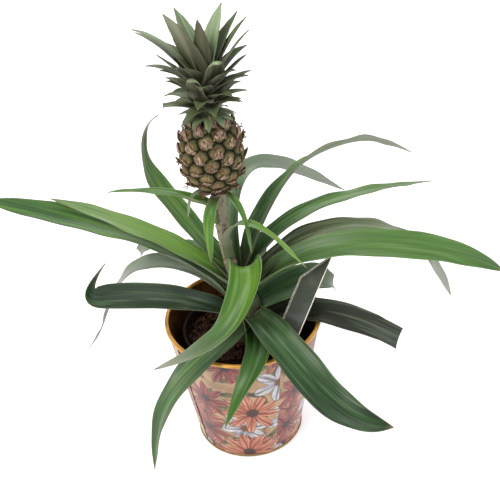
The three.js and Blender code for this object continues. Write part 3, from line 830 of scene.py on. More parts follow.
@dataclass
class CoverPot:
    """The tapered printed tin: two lapped wall sheets, a rolled rim, a base bead and a floor."""

    rim_bead: float = 0.0019
    base_bead: float = 0.0013
    base_radius: float = 0.050
    floor: float = 0.0012
    wall: float = 0.0007
    lap: float = 0.0007
    lap_width: float = 0.006
    fold: float = 0.0006
    seams: tuple[float, float] = (-69.0, -152.0)
    sides: int = 168

    def wall_line(self) -> np.ndarray:
        """Gives the outer wall's foot and head, tucked into the beads, as radius and height."""
        foot = (self.base_radius - 0.7 * self.base_bead, 2.2 * self.base_bead)
        head = (self.rim_radius - 0.85 * self.rim_bead, self.height - 1.6 * self.rim_bead)
        return np.array([foot, head])

    def add_sheet(self, work: Patchwork, start: float, sweep: float) -> None:
        """Adds one wall sheet, whose last edge laps over the next sheet.

        Args:
            work: The mesh in the making.
            start: The azimuth of the first edge in degrees.
            sweep: The angle up to the next seam in degrees.
        """
        foot, head = self.wall_line()
        steps = max(24, int(sweep / 360 * self.sides))
        overlap = math.degrees(self.lap_width / head[0])
        rise = 4 * overlap  # The angle over which the sheet rises onto the next one.
        turn = np.linspace(0, sweep + overlap, steps + 1)
        over = self.lap * ease((turn - sweep + rise) / rise)
        outer = foot + (head - foot) * np.linspace(0, 1, 13)[:, None]
        section = np.concatenate([outer, outer[::-1] - [self.wall, 0]])
        radius = section[:, 0] + over[:, None]
        rings = about_axis(radius, np.radians(start + turn)[:, None], section[:, 1])
        # The sheet was cut flat, so its print lies on the cone as it unrolls.
        slope = math.atan2(head[0] - foot[0], head[1] - foot[1])
        reach = section[:, 0] / math.sin(slope)
        swing = np.radians(turn)[:, None] * math.sin(slope)
        sheet = np.stack([reach * np.sin(swing), reach * np.cos(swing)], -1)
        finish = np.where(np.arange(len(section)) < len(outer) - 1, 0, 1)
        work.add_skin(rings, sheet, finish=finish, ends=(1, 1))

    def build(self) -> None:
        """Builds the whole pot as one piece."""
        low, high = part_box("cover_pot")
        self.rim_radius = high.x
        self.height = high.z - low.z
        work = Patchwork("tin_cover_pot")
        first, second = self.seams
        self.add_sheet(work, second, (first - second) % 360)
        self.add_sheet(work, first, (second - first) % 360)
        bead, edge = self.rim_bead, self.base_radius
        rim = arc((self.rim_radius - bead, self.height - bead), bead, -70, 275, 16)
        # The roll in section: the sheet's outer side, then its inner side back on a smaller arc.
        crest = rim[7]
        lip = np.concatenate([rim, arc(crest - (0.0002, 0.0016), 0.0010, 200, -30, 5)])
        # The base in section: the raised floor's underside, the bead, the wall's foot and the floor.
        below = [[HUB, self.fold], [edge - 0.0036, self.fold], [edge - 0.0026, 0.0]]
        foot = arc((edge - self.base_bead, self.base_bead), self.base_bead, -90, 95, 8)
        above = [[edge - 0.0024, 2.8 * self.base_bead], [edge - 0.0029, self.floor], [HUB, self.floor]]
        base = turned(np.concatenate([below, foot, above]), self.sides)
        work.add_skin(base, unrolled(base), finish=3, ends=(3, 1))
        loop = np.swapaxes(turned(lip, self.sides), 0, 1)
        closed = np.concatenate([loop, loop[:1]])
        work.add_skin(closed, unrolled(closed), finish=2, ends=(2, 2))
        finishes = [PrintedTin().make(), BROWN_INSIDE.make(), GOLD_RIM.make(), DULL_BEAD.make()]
        settle(work.build(finishes, crease=40), Slot.PRINTED_METAL, "cover_pot")


@dataclass
class NurseryPot:
    """The thin plastic pot inside the tin, with a turned-out lip and a ribbed wall."""

    base_radius: float = 0.036
    wall: float = 0.0009
    lip: float = 0.0016
    lip_height: float = 0.0032
    outer_round: float = 0.0006
    inner_round: float = 0.0008
    chamfer: float = 0.001
    sides: int = 128
    ribs: int = 32
    rib: float = 0.0002

    def build(self) -> None:
        """Builds the pot from its solid's box."""
        low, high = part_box("nursery_pot")
        axis = ((low.x + high.x) / 2, (low.y + high.y) / 2)
        rim = (high.x - low.x) / 2
        top, bottom, foot = high.z, low.z, self.base_radius
        throat = rim - self.lip
        profile = np.concatenate([
            [[HUB, bottom], [foot - self.chamfer, bottom], [foot, bottom + self.chamfer]],
            [[foot + (throat - foot) * 0.5, (bottom + top) / 2]],
            [[throat, top - self.lip_height], [rim - 0.0004, top - self.lip_height]],
            arc((rim - self.outer_round, top - self.outer_round), self.outer_round, 0, 90, 4),
            arc((throat, top - self.inner_round), self.inner_round, 90, 175, 4),
            [[foot - self.wall, bottom + self.wall], [HUB, bottom + self.wall]],
        ])
        rings = turned(profile, self.sides, axis)
        angle = all_round(self.sides)
        flute = 1 - self.rib / rim * (1 + np.cos(angle * self.ribs))
        # Only the wall's own rows are fluted, not the foot and the rim.
        wall_rows = slice(2, 5)
        centre = np.array([*axis, 0])
        fluted = (rings[wall_rows] - centre) * np.stack([flute, flute, np.ones_like(flute)], -1)
        rings[wall_rows] = fluted + centre
        work = Patchwork("plastic_nursery_pot")
        work.add_skin(rings, unrolled(rings, axis))
        settle(work.build([BROWN_PLASTIC.make()], crease=50), Slot.LINER, "nursery_pot")
        self.axis, self.inside = axis, throat - self.wall


@dataclass
class Peat:
    """The peat in the nursery pot: a rough mound with crumbs and fibres scattered on it."""

    liner: NurseryPot
    crumbs: int = 620
    fibres: int = 240
    crumb_radius: float = 0.0017
    lump: float = 0.0007
    lump_height: float = 0.0006
    lump_seed: int = 5
    roughness: float = 0.0022
    clod: float = 0.007
    sides: int = 120

    def heap(self, points: np.ndarray, share: np.ndarray) -> np.ndarray:
        """Lifts points, each a share of the way out to the wall, to the mound's height."""
        _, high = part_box("soil")
        # The mound falls 2 mm towards the wall, and its clods may reach the solid's top.
        sink = 0.002
        rough = [
            noise.fractal(Vector((x / self.clod, y / self.clod, 3.0)), 1.0, 2.2, 3)
            for x, y in points[..., :2].reshape(-1, 2)
        ]
        bumps = self.roughness * np.array(rough).reshape(points.shape[:-1])
        points[..., 2] = high.z - sink - sink * share**2 + bumps
        return points

    def crumb(self) -> Object:
        """Builds one crumb, with lumps from seeded noise."""
        noise.seed_set(self.lump_seed)
        return small_ball("peat_crumb", DRY_PEAT, self.crumb_radius, 1,
                          lambda spot: spot + noise.noise_vector(spot / self.lump) * self.lump_height)

    def fibre(self) -> Object:
        """Builds one bent fibre, 8 mm long."""
        way = np.linspace(-1, 1, 6)
        work = Patchwork("peat_fibre")
        middle = np.stack([0.0003 * way**2, 0.004 * way, 0.0008 - 0.0007 * way**2], -1)
        add_thread(work, middle, np.full(6, 0.0002), 4)
        return work.build([DRY_PEAT.make()])

    def strew(self, name: str, count: int, seed: int, copy: Object, **values: Any) -> None:
        """Scatters copies of a loose bit over the mound.

        Args:
            name: The new piece's name.
            count: How many bits.
            seed: The seed of their places.
            copy: The bit.
            **values: Their sway and their sizes.
        """
        source = np.random.default_rng(seed)
        share = 0.96 * np.sqrt(source.random(count))
        turn, facing = source.random((2, count)) * math.tau
        spots = self.heap(about_axis(self.edge * share, turn, 0.0, self.liner.axis), share)
        settle(set_copies(name, spots, UP, about_axis(1.0, facing, 0.0), copy, **values), Slot.PEAT)

    def build(self) -> None:
        """Builds the plug, then the loose bits on it."""
        low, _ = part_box("soil")
        share = np.linspace(0.004, 1.0, 42)
        self.edge = self.liner.inside - 0.0005
        flat = turned(np.stack([self.edge * share, 0 * share], -1), self.sides, self.liner.axis)
        foot = self.liner.base_radius - 0.0015
        side = turned(np.array([[foot, low.z + 0.001], [HUB, low.z]]), self.sides, self.liner.axis)
        work = Patchwork("peat_plug")
        work.add_skin(np.concatenate([self.heap(flat, share[:, None]), side]))
        settle(work.build([MOIST_PEAT.make()]), Slot.PEAT, "soil")
        self.strew("peat_crumbs", self.crumbs, 4, self.crumb(), Sway=(1.5, 1.5, 3.1),
                   Smallest=(0.3, 0.3, 0.25), Largest=(1.7, 1.3, 1.0))
        self.strew("peat_fibres", self.fibres, 9, self.fibre(), Sway=(0.4, 0.4, 0.3),
                   Smallest=(0.8, 0.35, 0.8), Largest=(1.2, 1.1, 1.2))


@dataclass(frozen=True)
class Section:
    """A blade's cross-section: thickness and gutter from root to tip, and its margin.

    It passes from the root's gutter and thickness to the tip's by fold_by and thin_by of the
    length. waves are the lengths of the two waves that ripple it, divided by tau.
    """

    root_thick: float = 0.0019
    tip_thick: float = 0.0009
    root_fold: float = 38.0
    thin_edge: float = 0.7
    wave: float = 0.0006
    tooth: float = 0.0
    tooth_step: float = 0.0028
    fold_by: float = 0.6
    thin_by: float = 0.5
    waves: tuple[float, float] = (0.0065, 0.0105)
    flattest: float = 0.001


@dataclass(frozen=True)
class Blade:
    """One leaf, as the solid has it: headings and slopes in degrees at even steps.

    A heading of 0 is +X. roll turns the blade about its midrib. sheath is how far its base
    runs down the stem, and wrap how far round it clasps the stem to each side in degrees.
    blunt is the least share of the width that a cut or torn tip keeps, and fold the gutter's
    angle towards the tip, below 0 where the blade arches instead. shade sets the tone from root to
    tip, 0 deep and 1 bright: partly the leaf's own colour, partly painted light and shade, higher
    where the leaf is lit or has a sheen and lower where it lies in shade.
    """

    name: str
    z: float
    head: tuple[float, ...]
    rise: tuple[float, ...]
    length: float
    width: float
    point: float = 3.0
    roll: tuple[float, ...] = (0.0,)
    tone: Tone = Tone.MATURE
    start: float = 0.006
    root_share: float = 0.8
    sheath: float = 0.014
    wrap: float = 100.0
    grey: tuple[float, ...] = (0.0,)
    girth: tuple[float, ...] = (1.0,)
    shade: tuple[float, ...] = (0.45,)
    blunt: float = 0.0
    fold: float = 16.0

    def directions(self, share: np.ndarray) -> tuple[np.ndarray, np.ndarray, np.ndarray]:
        """Gives the ways along the blade, across it and out of its upper face."""
        heading, slope, roll = (np.radians(through(k, share)) for k in (self.head, self.rise, self.roll))
        flat = about_axis(1.0, heading, 0.0)
        level = np.cross(UP, flat)
        slope, roll = slope[:, None], roll[:, None]
        along = flat * np.cos(slope) + UP * np.sin(slope)
        up = np.cross(along, level)
        across = level * np.cos(roll) + up * np.sin(roll)
        face = up * np.cos(roll) - level * np.sin(roll)
        return along, across, face

    def half_width(self, share: np.ndarray) -> np.ndarray:
        """Gives half the blade's width: broad soon after the root, then drawn out to a point."""
        full_by = 0.3
        root = passing(self.root_share, 1, share / full_by)
        taper = np.maximum(self.blunt, 1 - share**self.point) ** 0.85
        least = 0.0009  # Even a drawn-out point has some width.
        return np.maximum(least, self.width * root * taper * through(self.girth, share)) / 2

    def midline(self, root: np.ndarray, rows: int) -> np.ndarray:
        """Walks the midrib from the root to the tip."""
        along, _, _ = self.directions(np.linspace(0, 1, rows + 1))
        stride = along[:-1] + along[1:]
        stride *= self.length / rows / np.linalg.norm(stride, axis=1, keepdims=True)
        return root + np.concatenate([np.zeros((1, 3)), np.cumsum(stride, axis=0)])

    def add_to(
        self, work: Patchwork, root: np.ndarray, rows: int, columns: int, section: Section,
        stem: Stem | None = None, clear: float = 0.0,
    ) -> None:
        """Adds the blade to a mesh as one closed skin.

        Args:
            work: The mesh in the making.
            root: Where the midrib starts.
            rows: Steps along the blade.
            columns: Steps across each face.
            section: The cross-section.
            stem: The stem that the base clasps, or None.
            clear: How far off the stem the clasping base lies.
        """
        share = np.linspace(0, 1, rows + 1)
        _, across, face = self.directions(share)
        middle = self.midline(root, rows)
        half = self.half_width(share)
        way = share * self.length
        fold = np.radians(passing(section.root_fold, self.fold, share / section.fold_by))
        fold = np.where(np.abs(fold) < section.flattest, section.flattest, fold)
        thick = passing(section.root_thick, section.tip_thick, share / section.thin_by)
        side = np.linspace(1, -1, columns + 1)
        place = np.concatenate([side, side[::-1]])
        upper = np.where(np.arange(len(place)) <= columns, 1.0, -1.0)
        # The gutter is an arc across the blade, and turn is each point's angle on it.
        turn = 2 * fold[:, None] * place
        bow = (half / (2 * np.sin(fold)))[:, None]
        # Waves die out towards the root and the tip, and start elsewhere on each leaf.
        phase = sum(map(ord, self.name)) % 7
        short, long = section.waves
        ripple = np.sin(way / short + phase)[:, None] * place + np.sin(way / long + 2 * phase)[:, None]
        body = ease(share / 0.15) * ease((1 - share) / 0.2)
        lift = bow * (1 - np.cos(turn)) + section.wave * np.abs(place) ** 3 * ripple * body[:, None]
        tooth = section.tooth * (1 - np.mod(way / section.tooth_step, 1.0)) * ease((1 - share) / 0.1)
        lateral = bow * np.sin(turn) + np.where(np.abs(place) == 1, np.sign(place) * tooth[:, None], 0)
        off = upper * thick[:, None] / 2 * (1 - section.thin_edge * np.abs(place) ** 3)
        normal = (face[:, None] * np.cos(turn)[..., None] - across[:, None] * np.sin(turn)[..., None])
        rings = (middle[:, None] + across[:, None] * lateral[..., None]
                 + face[:, None] * lift[..., None] + normal * off[..., None])
        edge = half[:, None] * (1 - np.abs(place))
        if stem is not None:
            # The base repeats the first row down the sheath, then bends it round the stem.
            foot = -np.linspace(self.sheath, 0, 7)[:-1]
            rings, edge, half = (
                np.concatenate([np.repeat(part[:1], len(foot), 0), part]) for part in (rings, edge, half)
            )
            way = np.concatenate([foot, way])
            share = np.concatenate([np.zeros(len(foot)), share])
            clasp = self.clasp(stem, root, way, place, upper * section.root_thick / 2, clear)
            # It comes free of the stem over its first 24 mm.
            blend = ease(way / 0.024)[:, None, None]
            rings = clasp * (1 - blend) + rings * blend
        # Each leaf takes its streaks from another part of the pattern.
        sheet = np.stack([half[:, None] * place + 0.05 * phase, np.repeat(way[:, None], len(place), 1)], -1)
        strip = np.where(np.arange(len(place)) < columns, 0, 1)
        # A torn end has no dry tip.
        values = {
            "along": np.minimum(share, 0.96 if self.blunt else 1.0)[:, None], "edge": edge,
            "scurf": through(self.grey, share)[:, None], "shade": through(self.shade, share)[:, None],
        }
        work.add_skin(rings, sheet, values, strip)

    def clasp(
        self, stem: Stem, root: np.ndarray, way: np.ndarray, place: np.ndarray, off: np.ndarray, clear: float
    ) -> np.ndarray:
        """Bends the blade's base round the stem.

        Args:
            stem: The stem.
            root: Where the midrib starts.
            way: Distance along the blade of each row, negative below the root.
            place: Where each point lies across the blade, from -1 to 1.
            off: How far each point stands towards the stem from the middle of the blade.
            clear: How far off the stem the base lies.

        Returns:
            The rings of the clasping base.
        """
        height = root[2] + np.minimum(way, 0.03)
        x, y, radius = (row[:, None] for row in stem.at(height))
        angle = math.radians(self.head[0]) + np.radians(self.wrap) * place
        return about_axis(radius + clear - off, angle, height[:, None], (x, y))


@dataclass
class Stem:
    """The stem and fruit stalk, one tapering trunk with leaf scars."""

    stations: tuple[tuple[float, float, float, float], ...] = (
        (0.004, 0, 0.079, 0.009), (0.004, 0, 0.105, 0.011), (0.003, 0, 0.145, 0.0095),
        (-0.002, 0.0005, 0.160, 0.0070), (-0.0055, 0.001, 0.175, 0.0056),
        (-0.0096, 0.002, 0.200, 0.0052), (-0.0118, 0.002, 0.224, 0.0052),
        (-0.0122, 0.0012, 0.245, 0.0056), (-0.0132, 0.0003, 0.263, 0.0064),
    )
    rings: int = 150
    sides: int = 32
    scars: tuple[float, ...] = (0.168, 0.186, 0.205, 0.222, 0.238)
    scar_width: float = 0.0009

    def at(self, height: np.ndarray | float) -> tuple[np.ndarray, np.ndarray, np.ndarray]:
        """Gives the stem's middle and radius at some heights."""
        columns = np.array(self.stations).T
        dense = [through(c, np.linspace(0, 1, 400)) for c in columns]
        return tuple(np.interp(height, dense[2], dense[k]) for k in (0, 1, 3))

    def build(self) -> None:
        """Builds the trunk, with its leaf scars and five faint flutes that twist."""
        height = np.linspace(self.stations[0][2], self.stations[-1][2], self.rings)
        x, y, radius = self.at(height)
        angle = all_round(self.sides)
        # Each scar is a ridge 0.7 mm high with a groove above it.
        ridge, groove = (
            sum(depth * np.exp(-(((height - z - above) / self.scar_width) ** 2)) for z in self.scars)
            for depth, above in ((0.0007, 0.0), (0.0005, 0.0022))
        )
        flute = 0.00025 * np.cos(5 * angle + 40 * height[:, None])
        reach = (radius + ridge - groove)[:, None] + flute
        rings = about_axis(reach, angle, height[:, None], (x[:, None], y[:, None]))
        work = Patchwork("stem_and_stalk")
        work.add_skin(rings, unrolled(rings))
        settle(work.build([STALK_SKIN.make()]), Slot.STALK, "stem")


@dataclass
class Rosette:
    """The rosette leaves and the bracts of the fruit stalk."""

    stem: Stem
    section: Section = Section()
    rows: int = 72
    columns: int = 12
    blades: tuple[Blade, ...] = (
        # Shade keys are partly each leaf's own tone and partly painted light and shade: higher where it is
        # lit or shines, lower where it lies in shade.
        Blade("leaf_far_left", 0.128, (180, 181, 182), (67, 46, 30, 22, 17), 0.247, 0.026, 6,
              roll=(0, 5, -15, -45), shade=(0.25, 0.55, 0.65, 0.6, 0.5)),
        # Its grey keys paint a bluish-white sheen along its outer half, not scales.
        Blade("leaf_left", 0.151, (178, 180, 182), (61, 43, 35, 29, 24), 0.182, 0.024, 2.6,
              roll=(0, -15, -30), grey=(0, 0, 0.1, 0.25, 0.2),
              shade=(0.45, 0.9, 1.0, 0.9, 0.6)),
        Blade("leaf_upper_left", 0.158, (153, 150, 148), (62, 52, 49, 58, 98, 150), 0.186, 0.025, 4,
              girth=(1, 1, 1, 1, 0.45, 0.5), grey=(0, 0, 0, 0, 0.3, 1), shade=(0.3, 0.65, 0.7, 0.5)),
        Blade("leaf_flat_left", 0.123, (196, 196, 195, 194, 194),
              (46, 42, 38, 34, 30, 26, 22, 18, 15, 12, 14, 108, 132, 134), 0.177, 0.023, 8,
              roll=(0, -25, -45, -50, -40), girth=(1, 1, 1, 1, 1, 1, 0.95, 0.6, 0.5),
              grey=(0, 0.03, 0.06, 0.03, 0), shade=(0.0, 0.05, 0.1, 0.2)),
        Blade("leaf_drooping_left", 0.128, (150, 150, 152), (64, 13, -25, -57, -65, -50), 0.277, 0.022,
              roll=(0, -10, -20, -20, 0), tone=Tone.GREY, grey=(0.2, 0.5, 0.8, 0.8),
              shade=(0.2, 0.4, 0.6, 0.6)),
        Blade("leaf_small_back_left", 0.140, (150, 150, 152), (52, 41, 22, -8, -66), 0.125, 0.018, 12,
              roll=(0, 0, -20, -60), tone=Tone.GREY, grey=(0, 0, 0.5, 0.8), shade=(0.3, 0.5, 0.6),
              blunt=0.6),
        Blade("leaf_front_arch", 0.155, (-69, -84, -127, -150, -144), (88, 66, -28, -39, -18, 2, 16),
              0.172, 0.035, 2, tone=Tone.YOUNG, grey=(0.1, 0, 0, 0.2, 0.9),
              shade=(0.35, 0.65, 0.5, 0.25, 0.4), fold=34.0),
        Blade("leaf_front_left", 0.117, (-104, -129, -143, -130), (43, 8, -18, -66, -80), 0.188, 0.034,
              1.7, grey=(0, 0.12, 0.08, 0), shade=(0.2, 0.5, 0.45, 0.3)),
        Blade("leaf_front", 0.126, (-70, -91, -128, -150), (30, 6, -14, -46, -62), 0.128, 0.028, 1.8,
              tone=Tone.YOUNG, shade=(-0.1, 0.05, 0.2, 0.4)),
        Blade("leaf_front_right", 0.124, (-74, -57, -48, -28), (54, -2, -24, -12, 28), 0.184, 0.033, 7,
              roll=(0, 5, 7, 5), girth=(0.88, 1, 1.04, 1), shade=(0.3, 0.35, 0.2, 0.15)),
        Blade("leaf_low_right", 0.113, (-7, -9, -14), (50, 13, -8, -22, -30), 0.138, 0.027, 12,
              roll=(0, 20, 25), tone=Tone.DULL, shade=(0.1, 0.0, -0.05), blunt=0.8),
        Blade("leaf_torn_right", 0.124, (18, 16, 16), (58, 25, 3, -58), 0.090, 0.031, 12,
              roll=(0, 20, 20), grey=(0, 0, 0.1, 0.6), shade=(0.2, 0.45, 0.4), blunt=0.6),
        # Its grey keys paint a faint bluish-white sheen along its middle, not scales.
        Blade("leaf_right", 0.148, (-5, -6, -8), (62, 27, 1, -12, -30), 0.238, 0.028, 6,
              roll=(0, 30, 35), girth=(0.8, 0.95, 1, 1), tone=Tone.YOUNG, grey=(0, 0.08, 0.04, 0.04),
              shade=(0.0, 0.25, 0.4, 0.4, 0.2)),
        Blade("leaf_arching_right", 0.144, (22, 22, 24), (70, 36, 4, -15, -32, -51, -60, -64), 0.295,
              0.026, 6, roll=(0, 0, 0, 0, 40, 60), tone=Tone.DULL, grey=(0, 0, 0.1, 0.4, 0.9),
              shade=(0.25, 0.6, 0.75, 0.6)),
        Blade("leaf_upper_right", 0.160, (30, 30, 28), (71, 32, 4, -6, -11, -13), 0.236, 0.021, 2,
              roll=(0, 5, 0), grey=(0, 0, 0.1, 0.3), shade=(0.3, 0.6, 0.7, 0.6)),
        Blade("leaf_tall_right", 0.162, (34, 35, 37), (78, 60, 42, 8, -10, -29, -34), 0.265, 0.022,
              roll=(0, -15, -42, -46, -42), girth=(1, 1.15, 1.05, 0.75, 0.75),
              grey=(0, 0, 0.05, 0.5, 0.9), shade=(0.2, 0.6, 0.95, 0.7)),
        Blade("leaf_back", 0.137, (140, 75, 42, 38), (88, 78, 42, -14, -32, -38, -38), 0.300, 0.020,
              tone=Tone.GREY, roll=(0, 0, 40, 60, 60), girth=(0.65, 0.65, 0.8, 1, 1),
              grey=(0, 0, 0, 0.6, 0.8, 0.8), shade=(0.4, 0.6, 0.75, 0.7)),
        Blade("leaf_low_back", 0.120, (84, 82, 80), (36, 12, -14, -40, -60), 0.180, 0.025),
        Blade("leaf_low_back_left", 0.116, (118, 120, 124), (48, 20, -4, -26, -40), 0.176, 0.025),
        Blade("leaf_low_back_right", 0.118, (52, 54, 58), (44, 16, -10, -34, -50), 0.176, 0.024),
        Blade("leaf_young_right", 0.2005, (-75, -40, -28, -24, -22), (88, 52, -14, -40, -44), 0.105, 0.0108,
              2, tone=Tone.YOUNG, start=0.004, sheath=0.008, wrap=42.0, girth=(0.85, 0.9, 1, 1),
              grey=(0.6, 0.4, 0, 0, 0), shade=(0.4, 0.6, 0.7, 0.6)),
        Blade("bract_left", 0.2335, (188, 186, 182), (56, 17, -1), 0.092, 0.014, 2, tone=Tone.YOUNG,
              sheath=0.006, wrap=60.0, shade=(0.6, 0.5, 0.3)),
        Blade("bract_front", 0.252, (-112, -115, -118), (-20, -80, -86), 0.058, 0.012, 2,
              tone=Tone.YOUNG, sheath=0.0, wrap=50.0, shade=(0.3, 0.6, 0.5)),
        Blade("bract_right", 0.257, (-44, -46, -46), (-5, -52, -76, -88), 0.060, 0.007, 2,
              tone=Tone.YOUNG, sheath=0.0, wrap=40.0, shade=(0.3, 0.5, 0.3)),
        Blade("bract_small", 0.257, (190, 198, 205), (25, -30, -76, -80), 0.033, 0.006, 2,
              tone=Tone.YOUNG, start=0.008, sheath=0.0, wrap=30.0, shade=(0.1, 0.1), grey=(0.2, 0.5)),
    )
    overlap: float = 0.028
    first_clear: float = 0.0005
    layer: float = 0.00025

    def clearance(self, blade: Blade) -> float:
        """Gives how far off the stem a base lies, outside the bases of the leaves above it."""
        above = sum(blade.z < other.z < blade.z + self.overlap for other in self.blades)
        return self.first_clear + self.layer * above

    def build(self) -> None:
        """Builds each leaf as its own piece."""
        finishes = {tone: finish.make() for tone, (_, finish) in LEAF_COLOURINGS.items()}
        for blade in self.blades:
            x, y, _ = self.stem.at(blade.z)
            heading = math.radians(blade.head[0])
            root = np.array([
                x + blade.start * math.cos(heading), y + blade.start * math.sin(heading), blade.z,
            ])
            held = self.stem if blade.sheath > 0 else None
            work = Patchwork(f"{blade.name}_blade")
            blade.add_to(work, root, self.rows, self.columns, self.section, held, self.clearance(blade))
            slot, _ = LEAF_COLOURINGS[blade.tone]
            settle(work.build(finishes[blade.tone]), slot, blade.name)


@dataclass
class Fruit:
    """The fruit: domed eyes in a golden spiral, each with a dry bract, and withered florets."""

    radius: float = 0.0222
    eyes: int = 72
    square: float = 2.5
    rise: float = 0.0036
    spread: float = 0.0070
    groove: float = 0.0017
    rows: int = 150
    sides: int = 260
    foot: float = 0.2612
    head: float = 0.321
    axis: tuple[float, float] = (-0.015, 0.0)
    bract_half: float = 0.00018

    def centres(self) -> np.ndarray:
        """Gives the direction of every eye."""
        i = np.arange(self.eyes)
        z = 1 - (2 * i + 1) / self.eyes
        level = np.sqrt(1 - z * z)
        turn = i * GOLDEN_ANGLE
        return about_axis(level, turn, z)

    def on_barrel(self, way: np.ndarray, lift: np.ndarray | float) -> np.ndarray:
        """Gives the point of the barrel in each direction, raised by lift."""
        level = np.hypot(way[:, 0], way[:, 1])
        scale = (level**self.square + np.abs(way[:, 2]) ** self.square) ** (-1 / self.square)
        out = way * scale[:, None]
        wide = self.radius + lift
        tall = (self.head - self.foot) / 2 + np.minimum(lift, 0.0004)
        return np.stack([
            self.axis[0] + out[:, 0] * wide, self.axis[1] + out[:, 1] * wide,
            (self.head + self.foot) / 2 + out[:, 2] * tall,
        ], -1)

    def dome(self, away: np.ndarray, edge: np.ndarray) -> np.ndarray:
        """Gives how high an eye stands, from the distances to its middle and its groove."""
        # A steep plate beside the groove carries a softer swell.
        plate = 1 - (1 - np.clip(edge / self.groove, 0, 1)) ** 2
        swell = 1 - np.minimum(away / self.spread, 1) ** 2
        return self.rise * (0.55 * plate + 0.45 * swell)

    def body(self) -> Object:
        """Builds the relief of eyes over the barrel."""
        tilt = np.radians(np.linspace(-88.5, 88.5, self.rows))[:, None]
        way = about_axis(np.cos(tilt), all_round(self.sides), np.sin(tilt)).reshape(-1, 3)
        plain = self.on_barrel(way, 0.0)
        middles = self.on_barrel(self.centres(), 0.0)
        first, second = np.sort([np.linalg.norm(plain - middle, axis=1) for middle in middles], axis=0)[:2]
        lift = self.dome(first, (second - first) / 2)
        points = self.on_barrel(way, lift).reshape(self.rows, self.sides, 3)
        # depth, each point's height on its eye, sets the rind's colour: darker into the grooves, partly as
        # painted shade, and tan on the crests, partly as a painted highlight.
        depth = (lift / self.rise).reshape(points.shape[:2])
        work = Patchwork("fruit_rind")
        work.add_skin(points, unrolled(points, self.axis), {"depth": depth})
        return work.build([FRUIT_RIND.make()])

    def bract(self) -> Object:
        """Builds one eye's bract: a keeled triangle from the groove to a free tip on the dome."""
        share = np.linspace(0, 1, 8)[:, None]
        across = np.linspace(1, -1, 7)
        place = np.concatenate([across, across[::-1]])
        face = np.where(np.arange(len(place)) < len(across), self.bract_half, -self.bract_half)
        # A triangle 10 mm wide, whose root lies 6 mm below the eye's middle, in the groove.
        x = (0.0048 * (1 - share**1.6) + 0.0002) * place
        y = -0.0060 + 0.0082 * share + 0 * place
        away = np.hypot(x, y)
        # It lies 0.9 mm over the dome, which falls away with the barrel, and lifts at the tip.
        lift = self.dome(away, 0.0059 - away) - away**2 / (2 * self.radius) + 0.0010 * share**3
        keel = 0.0005 * (1 - np.abs(place))
        work = Patchwork("fruit_bract")
        work.add_skin(np.stack([x, y, lift + 0.0009 + keel + face], -1))
        return work.build([PAPER_BRACT.make()])

    def floret(self) -> Object:
        """Builds one eye's withered florets: two curled threads that thicken to their ends."""
        share = np.linspace(0, 1, 9)
        curl = 4.4 * share
        work = Patchwork("fruit_floret")
        for side in (1, -1):
            # The threads leave the eye's middle to opposite sides and curl as they rise 4 mm.
            middle = np.stack([
                side * (0.0004 + 0.0018 * np.sin(curl * 0.8)), 0.0013 * (1 - np.cos(curl)) * side - 0.001,
                0.0030 + 0.0052 * share - 0.0012 * share**3,
            ], -1)
            add_thread(work, middle, 0.00026 + 0.0004 * share**2)
        return work.build([DRY_FLORET.make()])

    def build(self) -> None:
        """Builds the rind, the bracts and the florets."""
        settle(self.body(), Slot.FRUIT, "fruit")
        ways = self.centres()
        spots = self.on_barrel(ways, 0.0)
        settle(set_copies("fruit_bracts", spots, ways, UP, self.bract(), Seed=3, Sway=(0.08, 0.08, 0.16),
                          Smallest=(0.85, 0.8, 1.0), Largest=(1.2, 1.1, 1.15)), Slot.FRUIT)
        # The eyes round the stalk have no room for florets.
        free = ways[:, 2] > -0.8
        settle(set_copies("fruit_florets", spots[free], ways[free], UP, self.floret(), Seed=8,
                          Sway=(0.5, 0.5, 3.1), Share=0.8, Smallest=(0.6, 0.6, 0.7),
                          Largest=(1.2, 1.2, 1.2)), Slot.FRUIT)


@dataclass
class DrawSource:
    """Repeatable numbers from 0 to 1, the same run that places the solid's crown leaves."""

    state: int

    def draw(self) -> float:
        """Gives the next number."""
        factor, addend, span = 1664525, 1013904223, 2**32
        self.state = (self.state * factor + addend) % span
        return self.state / span


